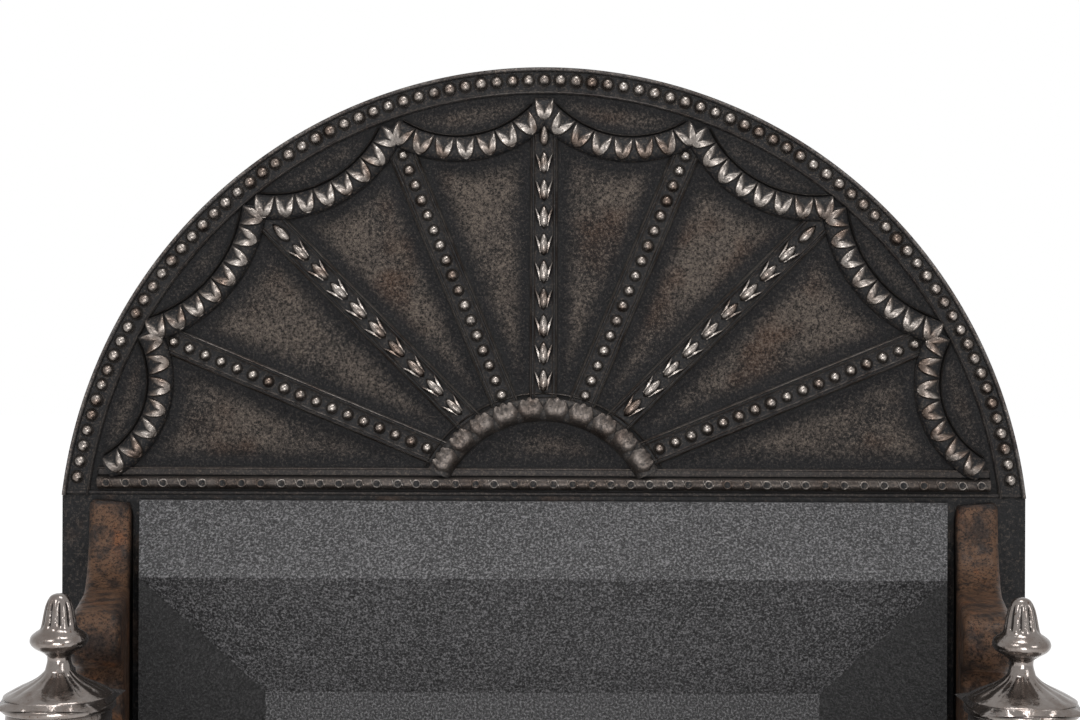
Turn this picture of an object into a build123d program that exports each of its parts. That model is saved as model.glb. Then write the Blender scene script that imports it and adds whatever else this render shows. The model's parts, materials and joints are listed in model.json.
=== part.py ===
from build123d import *
import os
from math import acos, cos, degrees, radians, sin, tan

# A free-standing fire grate: arched and lower back plates, fireback, two cheeks, two front
# standards with urns, bowed rails, pierced apron and a loose fire bed. Millimetres, +Z up.
# The origin is on the floor, in the middle of the whole grate. The front faces -Y.
# "Forward" is the distance in front of the back plates' front face.

# Back plates
plate_width = 640.0
plate_thickness = 10.0
seam_height = 430.0
arch_rise = 285.0
rear_foot_width = 70.0
rear_arch_spring = 62.0
rear_arch_crown = 104.0
cut_overrun = 1.0

# Fireback
fireback_wall = 8.0
fireback_head_half = 268.5
fireback_ridge_half = 257.7
fireback_head_drop = 3.0
fireback_head_land = 5.0
fireback_ridge_drop = 49.0
fireback_ridge_forward = 45.0
fireback_hollow_drop = 80.0
fireback_splay_width = 75.0
fireback_boss_radius = 12.0
fireback_bolt_inset = 42.0
fireback_bolt_foot = 40.0
fireback_foot_gap = 1.0
fireback_overrun = 20.0

# Cheeks
cheek_thickness = 28.0
cheek_web = 12.0
cheek_rim = 12.0
cheek_toe = 11.5
cheek_root_x = 287.0
cheek_head_drop = 3.0
cheek_head_depth = 7.0
cheek_scoop_radius = 53.0
cheek_arm_length = 153.0
cheek_arm_height = 34.0
cheek_cove_forward = 112.0
cheek_cove_radius = 17.0
cheek_end_drop = 6.0
cheek_edge_radius = 4.0
cheek_ledge_width = 10.0
cheek_ledge_height = 10.0
cheek_foot_drop = 10.0
cheek_overrun = 20.0
cheek_bolt_foot = 40.0
cheek_bolt_drop = 50.0

# Front standards
standard_x = 232.6
standard_forward = 300.0
standard_block = 34.0
standard_cap = 42.0
standard_cap_height = 9.0
standard_cap_neck = 37.0
standard_cap_neck_height = 7.0
standard_collar = 38.0
standard_collar_height = 8.0
leg_top = 30.0
leg_bottom = 21.0
foot_size = 40.0
foot_height = 16.0
foot_taper_height = 12.0
block_bottom = 122.0
block_top = 276.0
sunk_panel_margin = 6.0
sunk_panel_depth = 2.0

# Urns, with radii and heights above the urn's base
urn_plinth = 34.0
urn_plinth_height = 8.0
urn_foot_edge = 3.0
urn_foot_cove = 2.0
urn_foot_radius = 15.0
urn_neck_radius = 6.5
urn_neck_height = 19.0
urn_neck_flare = 3.0
urn_body_radius = 25.0
urn_body_height = 63.0
urn_belly_share = 0.62
urn_belly_draw = 1.0
urn_rim_radius = 27.0
urn_rim_height = 4.0
lid_inset = 1.0
lid_rim_height = 3.0
lid_skirt_radius = 12.5
lid_skirt_rise = 6.2
lid_neck_radius = 5.5
lid_neck_rise = 17.7
lid_neck_swell = 0.8
lid_neck_swell_rise = 4.6
collar_radius = 13.9
collar_edge = 3.4
collar_thickness = 10.0
collar_rise = 25.5
collar_fullest = 0.4
acorn_radius = 9.2
acorn_height = 16.5
acorn_side_radius = 7.6
acorn_side_rise = 5.5
acorn_tip_radius = 2.6
acorn_tip_flat = 0.8
acorn_tip_side = 1.95
acorn_tip_drop = 0.9
stud_depth = 20.0
lid_stud_depth = 12.0
urn_stud_radius = 3.0

# Rails
rail_depth = 10.0
rail_height = 10.0
rail_bow = 25.0
rail_first_height = 172.0
rail_pitch = 30.0
tenon_radius = 3.5
tenon_length = 11.0

# Fire bed and its bearers
bed_underside = 146.0
bed_thickness = 12.0
bed_gap = 5.5
bed_bar = 10.0
bed_slot = 14.0
bed_border = 12.0
bed_least_slot = 0.5
bearer_depth = 9.0
bearer_height = 20.0
rear_bearer_half = 150.0
rear_bearer_reach = 30.0
rear_bearer_drop = 30.0
rear_bearer_leg = 6.0
bearer_bolt_x = 100.0
bearer_clearance = 1.0

# Pierced apron
apron_thickness = 4.0
apron_top = 122.0
apron_bottom = 60.0
apron_slot_width = 10.0
apron_slot_height = 34.0
apron_pitch = 18.0
apron_pin_radius = 2.0
apron_pin_length = 8.0

# Straps and fasteners
strap_width = 36.0
strap_length = 110.0
strap_thickness = 6.0
strap_spacing = 200.0
screw_radius = 3.0
screw_head_radius = 5.5
screw_head_height = 4.0
screw_depth = 6.0
screw_offsets = [-42.0, -20.0, 20.0, 42.0]
bolt_radius = 4.0
bolt_head_radius = 7.5
bolt_head_height = 6.0
bolt_reach = 9.0
fireback_bolt_reach = 16.0
patera_radius = 10.0
patera_height = 6.0
patera_rounding = 3.6
patera_bolt_offset = 38.0
patera_lift = 12.0
hole_clearance = 0.3

# Carving on the arched panel, as radii from the arch's centre and heights above the ground
rim_lip_width = 2.6
rim_lip_height = 2.5
rim_bead_inset = 7.6
rim_bead_radius = 3.9
rim_bead_pitch = 10.59
rim_bead_foot = 12.0
rim_fillet_inset = 15.4
rim_fillet_width = 2.6
rim_fillet_height = 2.5
ray_spread = 22.5
ray_width = 18.6
ray_ground_height = 1.2
ray_ridge_width = 1.6
ray_ridge_height = 2.6
ray_start = 84.0
ray_bead_radius = 3.5
ray_bead_pitch = 10.6
ray_bud_radius = 3.6
ray_bud_length = 16.0
ray_bud_pitch = 18.1
swag_roll_radius = 7.2
swag_joint_angles = [0.0, 22.5, 45.0, 67.5, 86.5]
swag_joint_radii = [256.5, 263.2, 271.8, 284.4, 290.4]
swag_middle_radii = [235.9, 244.6, 255.9, 263.2]
boss_drop = 19.3
boss_radius = 77.4
boss_roll_radius = 8.0
base_band_height = 19.0
base_band_relief = 1.6
base_roll_height = 8.6
base_roll_radius = 4.4
base_roll_half = 296.0

# Worked-out places
arch_radius = (arch_rise ** 2 + (plate_width / 2) ** 2) / (2 * arch_rise)
arch_centre_z = seam_height + arch_rise - arch_radius
rear_reach = plate_thickness + strap_thickness + screw_head_height
front_reach = standard_forward + rail_bow + rail_depth / 2
plate_y = (front_reach - rear_reach) / 2
fireback_head_z = seam_height - fireback_head_drop
fireback_ridge_z = seam_height - fireback_ridge_drop
fireback_hollow_z = fireback_ridge_z - fireback_hollow_drop
fireback_flat_half = fireback_ridge_half - fireback_splay_width
bed_top = bed_underside + bed_thickness
fireback_bottom_z = bed_top + fireback_foot_gap
standard_rear = standard_forward - standard_block / 2
standard_front = standard_forward + standard_block / 2
standard_inner_x = standard_x - standard_block / 2
standard_top = block_top + standard_cap_neck_height + standard_cap_height
cheek_bottom = bed_underside - cheek_foot_drop
cheek_inner_root_x = cheek_root_x - cheek_thickness / 2 / cos(radians(cheek_toe))
rail_radius = (standard_inner_x ** 2 + rail_bow ** 2) / (2 * rail_bow)
rail_centre_forward = standard_forward + rail_bow - rail_radius
rail_heights = [rail_first_height + row * rail_pitch for row in range(4)]
front_bearer_forward = standard_rear + bearer_depth / 2 + bearer_clearance
strap_places = [-strap_spacing, 0.0, strap_spacing]
patera_middle = (block_bottom + block_top) / 2 + patera_lift
patera_heights = [patera_middle - patera_bolt_offset, patera_middle + patera_bolt_offset]
cheek_bolt_low = cheek_bottom + cheek_bolt_foot
cheek_bolt_top = seam_height - cheek_bolt_drop
cheek_bolt_heights = [cheek_bolt_low, (cheek_bottom + seam_height) / 2, cheek_bolt_top]
fireback_bolt_x = fireback_ridge_half - fireback_bolt_inset
fireback_bolt_heights = [fireback_bottom_z + fireback_bolt_foot, fireback_hollow_z]
bearer_bolt_places = [-bearer_bolt_x, bearer_bolt_x]
bearer_bolt_height = bed_underside - rear_bearer_drop / 2 - rear_bearer_leg / 2


def front_plane(forward):
    """A plane in X and Z, at a distance forward of the back plates, that extrudes forward."""
    return Plane(origin=(0, plate_y - forward, 0), x_dir=(1, 0, 0), z_dir=(0, -1, 0))


def side_plane(x):
    """A plane in forward distance and Z, at one X, that extrudes towards -X."""
    return Plane(origin=(x, plate_y, 0), x_dir=(0, -1, 0), z_dir=(-1, 0, 0))


def plan_plane(z):
    """A plane in X and forward distance, at one height, that extrudes downwards."""
    return Plane(origin=(0, plate_y, z), x_dir=(1, 0, 0), z_dir=(0, 0, -1))


def block(x_low, x_high, forward_low, forward_high, z_low, z_high):
    """A box between two X values, two forward distances and two heights."""
    size_x = x_high - x_low
    size_y = forward_high - forward_low
    size_z = z_high - z_low
    centre_y = plate_y - (forward_low + forward_high) / 2
    middle = ((x_low + x_high) / 2, centre_y, (z_low + z_high) / 2)
    return Pos(*middle) * Box(size_x, size_y, size_z)


def rod(x, z, forward_low, forward_high, radius):
    """A round bar along the depth of the grate."""
    return extrude(front_plane(forward_low) * Pos(x, z) * Circle(radius), forward_high - forward_low)


def cross_rod(x_low, x_high, forward, z, radius):
    """A round bar across the width of the grate."""
    plane = Plane(origin=(x_low, plate_y - forward, z), z_dir=(1, 0, 0))
    return extrude(plane * Circle(radius), x_high - x_low)


def outline(*edges):
    """A face inside a closed loop of edges."""
    return make_face(Wire(edges))


def mirrored(shape):
    """The same shape on the other side of the middle."""
    return mirror(shape, about=Plane.YZ)


def save(name, *solids):
    """Write one node's solids."""
    shape = solids[0] if len(solids) == 1 else Compound(children=list(solids))
    export_step(shape, f"parts/{name}.step")


def panel_outline():
    """The arched panel's outline above the seam."""
    left = (-plate_width / 2, seam_height)
    right = (plate_width / 2, seam_height)
    crown = (0, seam_height + arch_rise)
    return outline(Line(left, right), ThreePointArc(right, crown, left))


def ring(radius, width):
    """A flat ring about the arch's centre, inside a radius, above the base band."""
    band = Pos(0, arch_centre_z) * (Circle(radius) - Circle(radius - width))
    above = Pos(0, seam_height + base_band_height) * Rectangle(
        plate_width, 2 * arch_rise, align=(Align.CENTER, Align.MIN)
    )
    return band & above


def relief(face, height):
    """A face of the panel raised to a height above its ground."""
    return extrude(front_plane(0) * face, height)


def ray_place(angle, radius):
    """The X and Z of a point along a ray that leaves the middle of the seam."""
    return (radius * sin(radians(angle)), seam_height + radius * cos(radians(angle)))


def swag_arc(number):
    """One swag's curve, through its two joints and its lowest point."""
    start_angle = swag_joint_angles[number]
    end_angle = swag_joint_angles[number + 1]
    start = ray_place(start_angle, swag_joint_radii[number])
    middle = ray_place((start_angle + end_angle) / 2, swag_middle_radii[number])
    return ThreePointArc(start, middle, ray_place(end_angle, swag_joint_radii[number + 1]))


def roll(path, radius):
    """A round moulding along a path drawn in X and Z, half sunk in the panel."""
    edge = front_plane(0) * path
    start = Plane(origin=edge @ 0, z_dir=edge % 0)
    return sweep(start * Circle(radius), path=edge)


def swag_rolls():
    """The eight hanging swags, the left four mirrored from the right four."""
    right = [roll(swag_arc(number), swag_roll_radius) for number in range(4)]
    return right + [mirrored(swag) for swag in right]


def boss_roll():
    """The half ring of leaves round the lunette."""
    lift = base_band_height + boss_drop - boss_roll_radius / 2
    half_turn = degrees(acos(lift / boss_radius))
    side_x = boss_radius * sin(radians(half_turn))
    side_z = seam_height - boss_drop + boss_radius * cos(radians(half_turn))
    crown = (0, seam_height - boss_drop + boss_radius)
    return roll(ThreePointArc((-side_x, side_z), crown, (side_x, side_z)), boss_roll_radius)


def ray_end(number):
    """The radius at which a ray meets the swags, by its number from the middle."""
    return swag_joint_radii[abs(number)] - swag_roll_radius


def ray_strip(number):
    """One ray: a raised strip with a thin ridge along each border."""
    length = ray_end(number) - ray_start
    middle = ray_start + length / 2
    turn = Pos(0, seam_height) * Rot(0, 0, -number * ray_spread) * Pos(0, middle)
    ground = relief(turn * Rectangle(ray_width, length), ray_ground_height)
    inset = (ray_width - ray_ridge_width) / 2
    ridges = [
        relief(turn * Pos(side * inset, 0) * Rectangle(ray_ridge_width, length), ray_ridge_height)
        for side in (-1, 1)
    ]
    return [ground] + ridges


def bead(x, z, radius, lift):
    """A round bead that stands out of the panel."""
    return Pos(x, plate_y - lift, z) * Sphere(radius)


def rim_beads():
    """The row of beads inside the arch's lip."""
    radius = arch_radius - rim_bead_inset
    end = acos((seam_height + rim_bead_foot - arch_centre_z) / radius)
    gaps = round(2 * end * radius / rim_bead_pitch)
    angles = [end * (2 * index / gaps - 1) for index in range(gaps + 1)]
    return [
        bead(radius * sin(angle), arch_centre_z + radius * cos(angle), rim_bead_radius, 0)
        for angle in angles
    ]


def ray_beads(number):
    """The beads along one of the beaded rays."""
    first = ray_start + ray_bead_pitch
    count = int((ray_end(number) - first) / ray_bead_pitch)
    places = [ray_place(number * ray_spread, first + index * ray_bead_pitch) for index in range(count)]
    return [bead(x, z, ray_bead_radius, ray_ground_height) for x, z in places]


def bud(x, z, angle):
    """One bell-flower bud: an arc turned about the ray's own line."""
    half = ray_bud_length / 2
    curve = ThreePointArc((0, -half), (ray_bud_radius, 0), (0, half))
    lens = outline(curve, Line((0, half), (0, -half)))
    solid = revolve(front_plane(0) * lens, axis=Axis((0, plate_y, 0), (0, 0, 1)))
    return Pos(x, -ray_ground_height, z) * Rot(0, angle, 0) * solid


def ray_buds(number):
    """The husks along one of the bell-flower rays."""
    first = ray_start + ray_bud_pitch / 2
    count = int((ray_end(number) - first) / ray_bud_pitch)
    angle = number * ray_spread
    places = [ray_place(angle, first + index * ray_bud_pitch) for index in range(count)]
    return [bud(x, z, angle) for x, z in places]


def ray_ornament(number):
    """The husks of an even ray, or the beads of an odd one."""
    return ray_buds(number) if number % 2 == 0 else ray_beads(number)


def base_mouldings():
    """The plain band on the seam and the round moulding along it."""
    half = base_roll_half - base_roll_radius
    band = block(-half, half, 0, base_band_relief, seam_height, seam_height + base_band_height)
    height = seam_height + base_roll_height
    line = Line((-base_roll_half, height), (base_roll_half, height))
    return [band, roll(line, base_roll_radius)]


def arch_panel():
    """The arched back panel with its carving, added one kind of ornament at a time."""
    panel = extrude(front_plane(-plate_thickness) * panel_outline(), plate_thickness)
    rays = range(-3, 4)
    fillet_radius = arch_radius - rim_fillet_inset
    carving = [
        [relief(ring(arch_radius, rim_lip_width), rim_lip_height)],
        [relief(ring(fillet_radius, rim_fillet_width), rim_fillet_height)],
        [part for number in rays for part in ray_strip(number)],
        swag_rolls(),
        [boss_roll()],
        base_mouldings(),
        rim_beads(),
        [part for number in rays for part in ray_ornament(number)],
    ]
    for ornament in carving:
        panel = panel.fuse(*ornament)
    return panel - screw_holes(seam_height, seam_height + strap_length)


def screw_places():
    """X and Z of every screw of the seam straps."""
    return [(x, seam_height + offset) for x in strap_places for offset in screw_offsets]


def screw_holes(z_low, z_high):
    """Blind holes in the back of a plate for the screws between two heights."""
    radius = screw_radius + hole_clearance
    depth = screw_depth + hole_clearance
    places = [(x, z) for x, z in screw_places() if z_low < z < z_high]
    return [rod(x, z, -plate_thickness, -plate_thickness + depth, radius) for x, z in places]


def seam_strap(x):
    """A flat iron strap that ties the two back plates together from behind."""
    low = seam_height - strap_length / 2
    high = seam_height + strap_length / 2
    back = -plate_thickness - strap_thickness
    strap = block(x - strap_width / 2, x + strap_width / 2, back, -plate_thickness, low, high)
    radius = screw_radius + hole_clearance
    holes = [rod(x, seam_height + offset, back, -plate_thickness, radius) for offset in screw_offsets]
    return strap - holes


def seam_screw(x, z):
    """A round-headed screw driven forward through a strap into a plate."""
    seat = -plate_thickness - strap_thickness
    head = rod(x, z, seat - screw_head_height, seat, screw_head_radius)
    shank = rod(x, z, seat, -plate_thickness + screw_depth, screw_radius)
    return head + shank


def rear_bolt_places():
    """X and Z of the cheek bolts and of the fireback bolts."""
    cheek = [(side * cheek_bolt_x(), z) for side in (-1, 1) for z in cheek_bolt_heights]
    fireback = [(side * fireback_bolt_x, z) for side in (-1, 1) for z in fireback_bolt_heights]
    return cheek, fireback


def cheek_bolt_x():
    """The middle of the cheek's rear rim, where its bolts go in."""
    return cheek_root_x - bolt_reach / 2 * tan(radians(cheek_toe))


def hexagon_bar(x, z, forward_low):
    """A hexagonal bolt head or nut blank, lying along the depth of the grate."""
    hexagon = front_plane(forward_low) * Pos(x, z) * RegularPolygon(bolt_head_radius, 6)
    return extrude(hexagon, bolt_head_height)


def rear_bolt(x, z, reach):
    """A hexagon-headed bolt from behind the back plate, reaching forward past its front."""
    head = hexagon_bar(x, z, -plate_thickness - bolt_head_height)
    return head + rod(x, z, -plate_thickness, reach, bolt_radius)


def back_plate():
    """The lower back plate, which runs down to the floor as two rear feet."""
    half = plate_width / 2
    plate = block(-half, half, -plate_thickness, 0, 0, seam_height)
    inner = half - rear_foot_width
    arch = outline(
        Line((-inner, -cut_overrun), (inner, -cut_overrun)),
        Line((inner, -cut_overrun), (inner, rear_arch_spring)),
        ThreePointArc((inner, rear_arch_spring), (0, rear_arch_crown), (-inner, rear_arch_spring)),
        Line((-inner, rear_arch_spring), (-inner, -cut_overrun)),
    )
    plate -= extrude(front_plane(-plate_thickness) * arch, plate_thickness)
    cheek, fireback = rear_bolt_places()
    bearer = [(x, bearer_bolt_height) for x in bearer_bolt_places]
    radius = bolt_radius + hole_clearance
    plate -= [rod(x, z, -plate_thickness, 0, radius) for x, z in cheek + fireback + bearer]
    return plate - screw_holes(seam_height - strap_length, seam_height)


def fireback_mass(inset):
    """The fireback's outer form, or the hollow behind it when inset by the wall."""
    back = -cut_overrun if inset else 0.0
    front = fireback_ridge_forward - inset
    head = fireback_head_half - inset
    ridge = fireback_ridge_half - inset
    bottom = fireback_bottom_z + inset
    top = fireback_head_z - inset
    plan = Polyline((-head, back), (-ridge, front), (ridge, front), (head, back), close=True)
    mass = extrude(plan_plane(top) * make_face(plan), top - bottom)
    far = fireback_ridge_forward + fireback_overrun
    ridge_z = fireback_ridge_z
    land = fireback_head_land
    canted = Polyline((land - inset, top), (front, ridge_z), (far, ridge_z), (far, top), close=True)
    mass -= extrude(side_plane(fireback_head_half) * make_face(canted), 2 * fireback_head_half)
    return mass - fireback_hollow(inset)


def fireback_hollow(inset):
    """The space in front of the fireback's raked face and splayed sides, moved back by inset."""
    far = fireback_ridge_forward + fireback_overrun
    front = fireback_ridge_forward - inset
    flat = fireback_wall - inset
    low = fireback_bottom_z - cut_overrun
    ridge = (front, fireback_ridge_z)
    side = Polyline(
        ridge, (flat, fireback_hollow_z), (flat, low), (far, low), (far, fireback_ridge_z), close=True
    )
    rake = extrude(side_plane(fireback_head_half) * make_face(side), 2 * fireback_head_half)
    plan = Polyline(
        (-fireback_ridge_half, front),
        (-fireback_flat_half, flat),
        (fireback_flat_half, flat),
        (fireback_ridge_half, front),
        (fireback_ridge_half, far),
        (-fireback_ridge_half, far),
        close=True,
    )
    height = fireback_head_z - low
    splay = extrude(plan_plane(fireback_head_z) * make_face(plan), height)
    return rake & splay


def fireback():
    """The fireback, a hollow-backed casting with bosses for its bolts."""
    casting = fireback_mass(0.0)
    hollow = fireback_mass(fireback_wall)
    _, places = rear_bolt_places()
    boss_end = fireback_ridge_forward
    hollow -= [rod(x, z, -cut_overrun, boss_end, fireback_boss_radius) for x, z in places]
    casting -= hollow
    radius = bolt_radius + hole_clearance
    depth = fireback_bolt_reach + hole_clearance
    return casting - [rod(x, z, 0, depth, radius) for x, z in places]


def cheek_plane():
    """The left cheek's own plane: along the cheek and up, facing outwards."""
    turn = radians(cheek_toe)
    along = (sin(turn), -cos(turn), 0)
    outward = (-cos(turn), -sin(turn), 0)
    return Plane(origin=(-cheek_root_x, plate_y, 0), x_dir=along, z_dir=outward)


def cheek_profile():
    """The cheek's side view: head, scoop, arm with its round nose, cove and long shoulder."""
    back = -cheek_overrun
    turn = radians(cheek_toe)
    end = standard_rear / cos(turn) + cheek_thickness * tan(turn) / 2 + cut_overrun
    head = seam_height - cheek_head_drop
    scoop_end = cheek_head_depth + cheek_scoop_radius
    arm = head - cheek_scoop_radius
    bend = cheek_scoop_radius * sin(radians(45))
    nose = cheek_arm_height / 2
    nose_start = cheek_arm_length - nose
    lip = arm - cheek_arm_height
    cove_start = cheek_cove_forward + cheek_cove_radius
    cove_middle = (cheek_cove_forward, lip - cheek_cove_radius)
    shoulder = lip - 2 * cheek_cove_radius
    shoulder_start = (cheek_arm_length, shoulder)
    return outline(
        Line((back, cheek_bottom), (back, head)),
        Line((back, head), (cheek_head_depth, head)),
        ThreePointArc((cheek_head_depth, head), (scoop_end - bend, head - bend), (scoop_end, arm)),
        Line((scoop_end, arm), (nose_start, arm)),
        ThreePointArc((nose_start, arm), (cheek_arm_length, arm - nose), (nose_start, lip)),
        Line((nose_start, lip), (cove_start, lip)),
        ThreePointArc((cove_start, lip), cove_middle, (cove_start, shoulder)),
        Line((cove_start, shoulder), shoulder_start),
        TangentArc(shoulder_start, (end, block_top - cheek_end_drop), tangent=(1, 0)),
        Line((end, block_top - cheek_end_drop), (end, cheek_bottom)),
        Line((end, cheek_bottom), (back, cheek_bottom)),
    )


def rounded_edges(slab, normal):
    """The long edges of the cheek's upper contour, on both of its sides."""
    along = slab.edges().filter_by(lambda edge: abs(edge.tangent_at(0).dot(normal)) < 0.5)
    upper = along.filter_by(lambda edge: edge.center().Z > cheek_bottom + cut_overrun)
    upright = upper.filter_by(GeomType.LINE).filter_by(lambda edge: abs(edge.tangent_at(0).Z) > 0.9)
    return [edge for edge in upper if edge not in upright]


def left_cheek():
    """The left cheek: a thick rimmed casting, sunk on its outer side, with a ledge inside."""
    plane = cheek_plane()
    half = cheek_thickness / 2
    slab = extrude(plane * Pos(0, 0, -half) * cheek_profile(), cheek_thickness)
    slab = fillet(rounded_edges(slab, plane.z_dir), cheek_edge_radius)
    keep = block(-plate_width, 0, 0, standard_rear, 0, seam_height)
    trimmed = cheek_profile() & Pos(standard_rear / 2, 0) * Rectangle(
        standard_rear / cos(radians(cheek_toe)), 4 * seam_height
    )
    sunk = offset(trimmed, amount=-cheek_rim, kind=Kind.INTERSECTION)
    slab -= extrude(plane * Pos(0, 0, cheek_web - half) * sunk, cheek_thickness)
    ledge = Pos(0, bed_underside, -half) * Rectangle(
        standard_forward, cheek_ledge_height, align=(Align.MIN, Align.MAX)
    )
    slab += extrude(plane * ledge, -cheek_ledge_width)
    slab &= keep
    radius = bolt_radius + hole_clearance
    depth = bolt_reach + hole_clearance
    x = -cheek_bolt_x()
    slab -= [rod(x, z, 0, depth, radius) for z in cheek_bolt_heights]
    slab -= [rod(-standard_x, z, standard_rear - depth, standard_rear, radius) for z in patera_heights]
    return slab


def square_post(size, z_low, z_high):
    """A square length of the standard."""
    centre = Pos(-standard_x, plate_y - standard_forward, z_low)
    return centre * Box(size, size, z_high - z_low, align=(Align.CENTER, Align.CENTER, Align.MIN))


def square_taper(size_low, size_high, z_low, z_high):
    """A tapered square length of the standard."""
    plane = Plane(origin=(-standard_x, plate_y - standard_forward, z_low))
    upper = Plane(origin=(-standard_x, plate_y - standard_forward, z_high))
    return loft([plane * Rectangle(size_low, size_low), upper * Rectangle(size_high, size_high)])


def left_standard():
    """The left front standard: foot, tapered leg, collar, pedestal block and cap."""
    foot_top = foot_height + foot_taper_height
    collar_bottom = block_bottom - standard_collar_height
    post = square_post(foot_size, 0, foot_height)
    post += square_taper(foot_size, leg_bottom, foot_height, foot_top)
    post += square_taper(leg_bottom, leg_top, foot_top, collar_bottom)
    post += square_post(standard_collar, collar_bottom, block_bottom)
    post += square_post(standard_block, block_bottom, block_top)
    cap_bottom = block_top + standard_cap_neck_height
    post += square_post(standard_cap_neck, block_top, cap_bottom)
    post += square_post(standard_cap, cap_bottom, standard_top)
    half = standard_block / 2 - sunk_panel_margin
    post -= block(
        -standard_x - half,
        -standard_x + half,
        standard_front - sunk_panel_depth,
        standard_front,
        block_bottom + sunk_panel_margin,
        block_top - sunk_panel_margin,
    )
    radius = bolt_radius + hole_clearance
    post -= [rod(-standard_x, z, standard_rear, standard_front, radius) for z in patera_heights]
    tenon = tenon_radius + hole_clearance
    depth = tenon_length + hole_clearance
    inner = -standard_inner_x
    post -= [cross_rod(inner - depth, inner, standard_forward, z, tenon) for z in rail_heights]
    post -= cross_rod(inner - depth, inner, front_bearer_forward, front_bearer_middle(), tenon)
    collar_inner = -standard_x + standard_collar / 2
    pin = apron_pin_radius + hole_clearance
    pin_depth = apron_pin_length + hole_clearance
    pin_z = block_bottom - standard_collar_height / 2
    post -= cross_rod(collar_inner - pin_depth, collar_inner, standard_forward, pin_z, pin)
    stud = urn_stud_radius + hole_clearance
    return post - stud_hole(-standard_x, standard_top - stud_depth - hole_clearance, standard_top, stud)


def stud_hole(x, z_low, z_high, radius):
    """An upright round bar on a standard's axis."""
    place = Pos(x, plate_y - standard_forward, z_low)
    return place * Cylinder(radius, z_high - z_low, align=(Align.CENTER, Align.CENTER, Align.MIN))


def turned(*edges):
    """A shape turned on the left standard's axis, from edges in radius and height above its top."""
    centre_y = plate_y - standard_forward
    half_section = Plane(origin=(-standard_x, centre_y, standard_top), x_dir=(1, 0, 0), z_dir=(0, -1, 0))
    return revolve(half_section * outline(*edges), axis=Axis((-standard_x, centre_y, 0), (0, 0, 1)))


def left_urn():
    """The left urn: square plinth, turned foot and ovoid body."""
    plinth_top = urn_plinth_height
    foot_low = plinth_top - cut_overrun
    foot_edge = plinth_top + urn_foot_edge
    body_start = urn_neck_height + urn_neck_flare
    rim_low = urn_body_height - urn_rim_height
    belly = (urn_body_radius - urn_belly_draw, body_start + urn_belly_share * (rim_low - body_start))
    neck = (urn_neck_radius, urn_neck_height)
    cove = (urn_neck_radius + urn_foot_cove, foot_edge + urn_foot_edge)
    body_foot = (urn_neck_radius + urn_neck_flare, body_start)
    urn = turned(
        Line((0, foot_low), (urn_foot_radius, foot_low)),
        Line((urn_foot_radius, foot_low), (urn_foot_radius, foot_edge)),
        ThreePointArc((urn_foot_radius, foot_edge), cove, neck),
        Line(neck, body_foot),
        ThreePointArc(body_foot, belly, (urn_body_radius, rim_low)),
        Line((urn_body_radius, rim_low), (urn_rim_radius, rim_low)),
        Line((urn_rim_radius, rim_low), (urn_rim_radius, urn_body_height)),
        Line((urn_rim_radius, urn_body_height), (0, urn_body_height)),
        Line((0, urn_body_height), (0, foot_low)),
    )
    urn += square_post(urn_plinth, standard_top, standard_top + plinth_top)
    radius = urn_stud_radius + hole_clearance
    return urn - stud_hole(-standard_x, standard_top, standard_top + urn_body_height, radius)


def left_urn_lid():
    """The left urn's lid: flared skirt, neck, turned collar and acorn finial."""
    low = urn_body_height
    rim = urn_rim_radius - lid_inset
    skirt = low + lid_rim_height
    neck = low + lid_neck_rise
    collar = low + collar_rise
    edge = collar_radius - collar_edge
    collar_top = collar + collar_thickness
    tip = collar_top + acorn_height
    collar_middle = collar + collar_fullest * collar_thickness
    acorn_foot = (acorn_radius, collar_top)
    acorn_neck = (acorn_tip_radius, tip - acorn_tip_radius)
    skirt_middle = (lid_skirt_radius, skirt + lid_skirt_rise)
    neck_middle = (lid_neck_radius + lid_neck_swell, neck + lid_neck_swell_rise)
    acorn_side = (acorn_side_radius, collar_top + acorn_side_rise)
    tip_side = (acorn_tip_side, tip - acorn_tip_drop)
    lid = turned(
        Line((0, low), (rim, low)),
        Line((rim, low), (rim, skirt)),
        ThreePointArc((rim, skirt), skirt_middle, (lid_neck_radius, neck)),
        ThreePointArc((lid_neck_radius, neck), neck_middle, (edge, collar)),
        ThreePointArc((edge, collar), (collar_radius, collar_middle), acorn_foot),
        ThreePointArc(acorn_foot, acorn_side, acorn_neck),
        ThreePointArc(acorn_neck, tip_side, (acorn_tip_flat, tip)),
        Line((acorn_tip_flat, tip), (0, tip)),
        Line((0, tip), (0, low)),
    )
    radius = urn_stud_radius + hole_clearance
    seat = standard_top + low
    return lid - stud_hole(-standard_x, seat, seat + lid_stud_depth + hole_clearance, radius)


def urn_stud():
    """The stud from the left standard's cap through the urn into its lid."""
    top = standard_top + urn_body_height + lid_stud_depth
    return stud_hole(-standard_x, standard_top - stud_depth, top, urn_stud_radius)


def patera_bolt(z):
    """A bolt with a round dished head on the front of the left standard."""
    seat = standard_front - sunk_panel_depth
    disc = rod(-standard_x, z, seat, seat + patera_height, patera_radius)
    disc = fillet(disc.edges().sort_by(Axis.Y)[0], patera_rounding)
    return disc + rod(-standard_x, z, standard_rear - bolt_reach, seat, bolt_radius)


def bowed_strip(thickness, half_width, z_low, z_high):
    """A strip that follows the rails' bow, cut off square at both ends."""
    outer = Circle(rail_radius + thickness / 2) - Circle(rail_radius - thickness / 2)
    band = Pos(0, plate_y - rail_centre_forward, z_low) * extrude(outer, z_high - z_low)
    reach = standard_forward + 2 * rail_bow
    return band & block(-half_width, half_width, standard_forward / 2, reach, z_low, z_high)


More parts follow.
